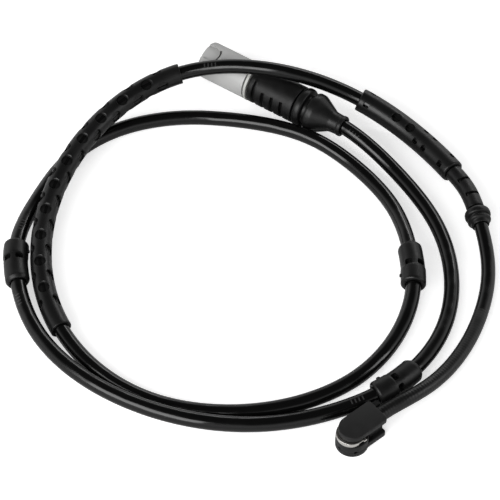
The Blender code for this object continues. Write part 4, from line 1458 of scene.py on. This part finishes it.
@dataclass
class Studio:
    """The camera, the floor, the world and the lamps."""

    target: tuple[float, float, float] = (-11.6 * MM, -2.3 * MM, 0.0)
    elevation: float = math.radians(50.0)
    distance: float = 680.0 * MM
    lens: float = 150.0
    floor_size: float = 6.0
    floor_colour: str = "#E6E6E6"
    floor_glow: float = 0.6
    ambient: float = 0.3
    overhead: float = 0.05
    white_up_to: float = math.radians(18.0)
    dark_from: float = math.radians(50.0)

    def build(self) -> None:
        """Make the camera and everything that lights or carries the sensor."""
        self.camera()
        self.floor()
        self.world()
        # A broad box from the front left gives the wide soft stripe on the cable.
        self.lamp("front softbox", (-0.46, -0.55, 0.46), (0.8, 0.5), 8.0)
        # A narrow one from behind gives the thin upper lines and rims.
        self.lamp("rear softbox", (0.35, 0.75, 0.5), (0.7, 0.12), 1.4)
        # Another from the right opens the far sides a little.
        self.lamp("right softbox", (0.85, -0.2, 0.5), (0.15, 0.5), 1.2)

    def camera(self) -> None:
        """Make the camera at the photograph's angle."""
        data = bpy.data.cameras.new("camera")
        data.lens = self.lens
        data.clip_start = 0.01
        data.clip_end = 20.0
        made = bpy.data.objects.new("camera", data)
        back = Vector((0.0, -math.cos(self.elevation), math.sin(self.elevation)))
        made.location = Vector(self.target) + back * self.distance
        made.rotation_euler = (-back).to_track_quat("-Z", "Y").to_euler()
        bpy.context.scene.collection.objects.link(made)
        bpy.context.scene.camera = made

    def floor(self) -> None:
        """Make the pale floor, which shows white to the camera and keeps the sensor's shadow."""
        half = self.floor_size / 2
        work = bmesh.new()
        work.faces.new([work.verts.new((x, y, 0.0)) for x, y in rectangle(-half, -half, half, half)])
        made = finished_mesh("floor", work)
        material, tree, shader = blank_material("painted board, matte white")
        shader.inputs["Base Color"].default_value = linear(self.floor_colour)
        shader.inputs["Roughness"].default_value = 0.9
        shader.inputs["Specular IOR Level"].default_value = 0.0
        glow = arithmetic(tree, "MULTIPLY", self.seen(tree), self.floor_glow)
        shader.inputs["Emission Color"].default_value = (1.0, 1.0, 1.0, 1.0)
        tree.links.new(glow, shader.inputs["Emission Strength"])
        made.data.materials.append(material)

    @staticmethod
    def seen(tree: Tree) -> Socket:
        """Give 1 for rays from the camera, straight or through glass.

        Args:
            tree: The node tree.

        Returns:
            The socket that carries 0 or 1.
        """
        path = add_node(tree, "ShaderNodeLightPath", {}).outputs
        return arithmetic(tree, "MAXIMUM", path["Is Camera Ray"], path["Is Transmission Ray"])

    def world(self) -> None:
        """Make a world that looks white, and that gloss sees as white walls under a dark ceiling."""
        world = bpy.data.worlds.new("white studio")
        world.use_nodes = True
        tree = world.node_tree
        shader = tree.nodes["Background"]
        shader.inputs["Color"].default_value = (1.0, 1.0, 1.0, 1.0)
        facing = add_node(tree, "ShaderNodeTexCoord", {})
        height = add_node(tree, "ShaderNodeSeparateXYZ", {"Vector": facing.outputs["Generated"]})
        walls = add_node(tree, "ShaderNodeMapRange", {
            "Value": height.outputs["Z"], "From Min": math.sin(self.white_up_to),
            "From Max": math.sin(self.dark_from), "To Min": 1.0, "To Max": self.overhead,
        }, interpolation_type="SMOOTHSTEP").outputs["Result"]
        glossy = add_node(tree, "ShaderNodeLightPath", {}).outputs["Is Glossy Ray"]
        lit = add_node(tree, "ShaderNodeMix", {0: glossy, 2: self.ambient, 3: walls}).outputs[0]
        strength = add_node(tree, "ShaderNodeMix", {0: self.seen(tree), 2: lit, 3: 1.0}).outputs[0]
        tree.links.new(strength, shader.inputs["Strength"])
        bpy.context.scene.world = world

    def lamp(
        self, name: str, place: tuple[float, float, float], size: tuple[float, float], power: float,
    ) -> None:
        """Make one softbox that faces the sensor.

        Args:
            name: The lamp's name.
            place: Where it stands.
            size: Its width and height.
            power: Its power in watts.
        """
        data = bpy.data.lights.new(name, "AREA")
        data.shape = "RECTANGLE"
        data.size, data.size_y = size
        data.energy = power
        made = bpy.data.objects.new(name, data)
        made.location = place
        made.rotation_euler = (Vector(self.target) - Vector(place)).to_track_quat("-Z", "Y").to_euler()
        bpy.context.scene.collection.objects.link(made)


def main() -> None:
    """Load the frame and make every piece of the scene."""
    logging.basicConfig(level=logging.INFO, format="%(name)s: %(message)s")
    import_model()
    bpy.context.scene.view_settings.view_transform = "Standard"
    Studio().build()
    Cable(CableRoute()).build()
    Connector().build()
    ProbeHead().build()


if __name__ == "__main__":
    main()
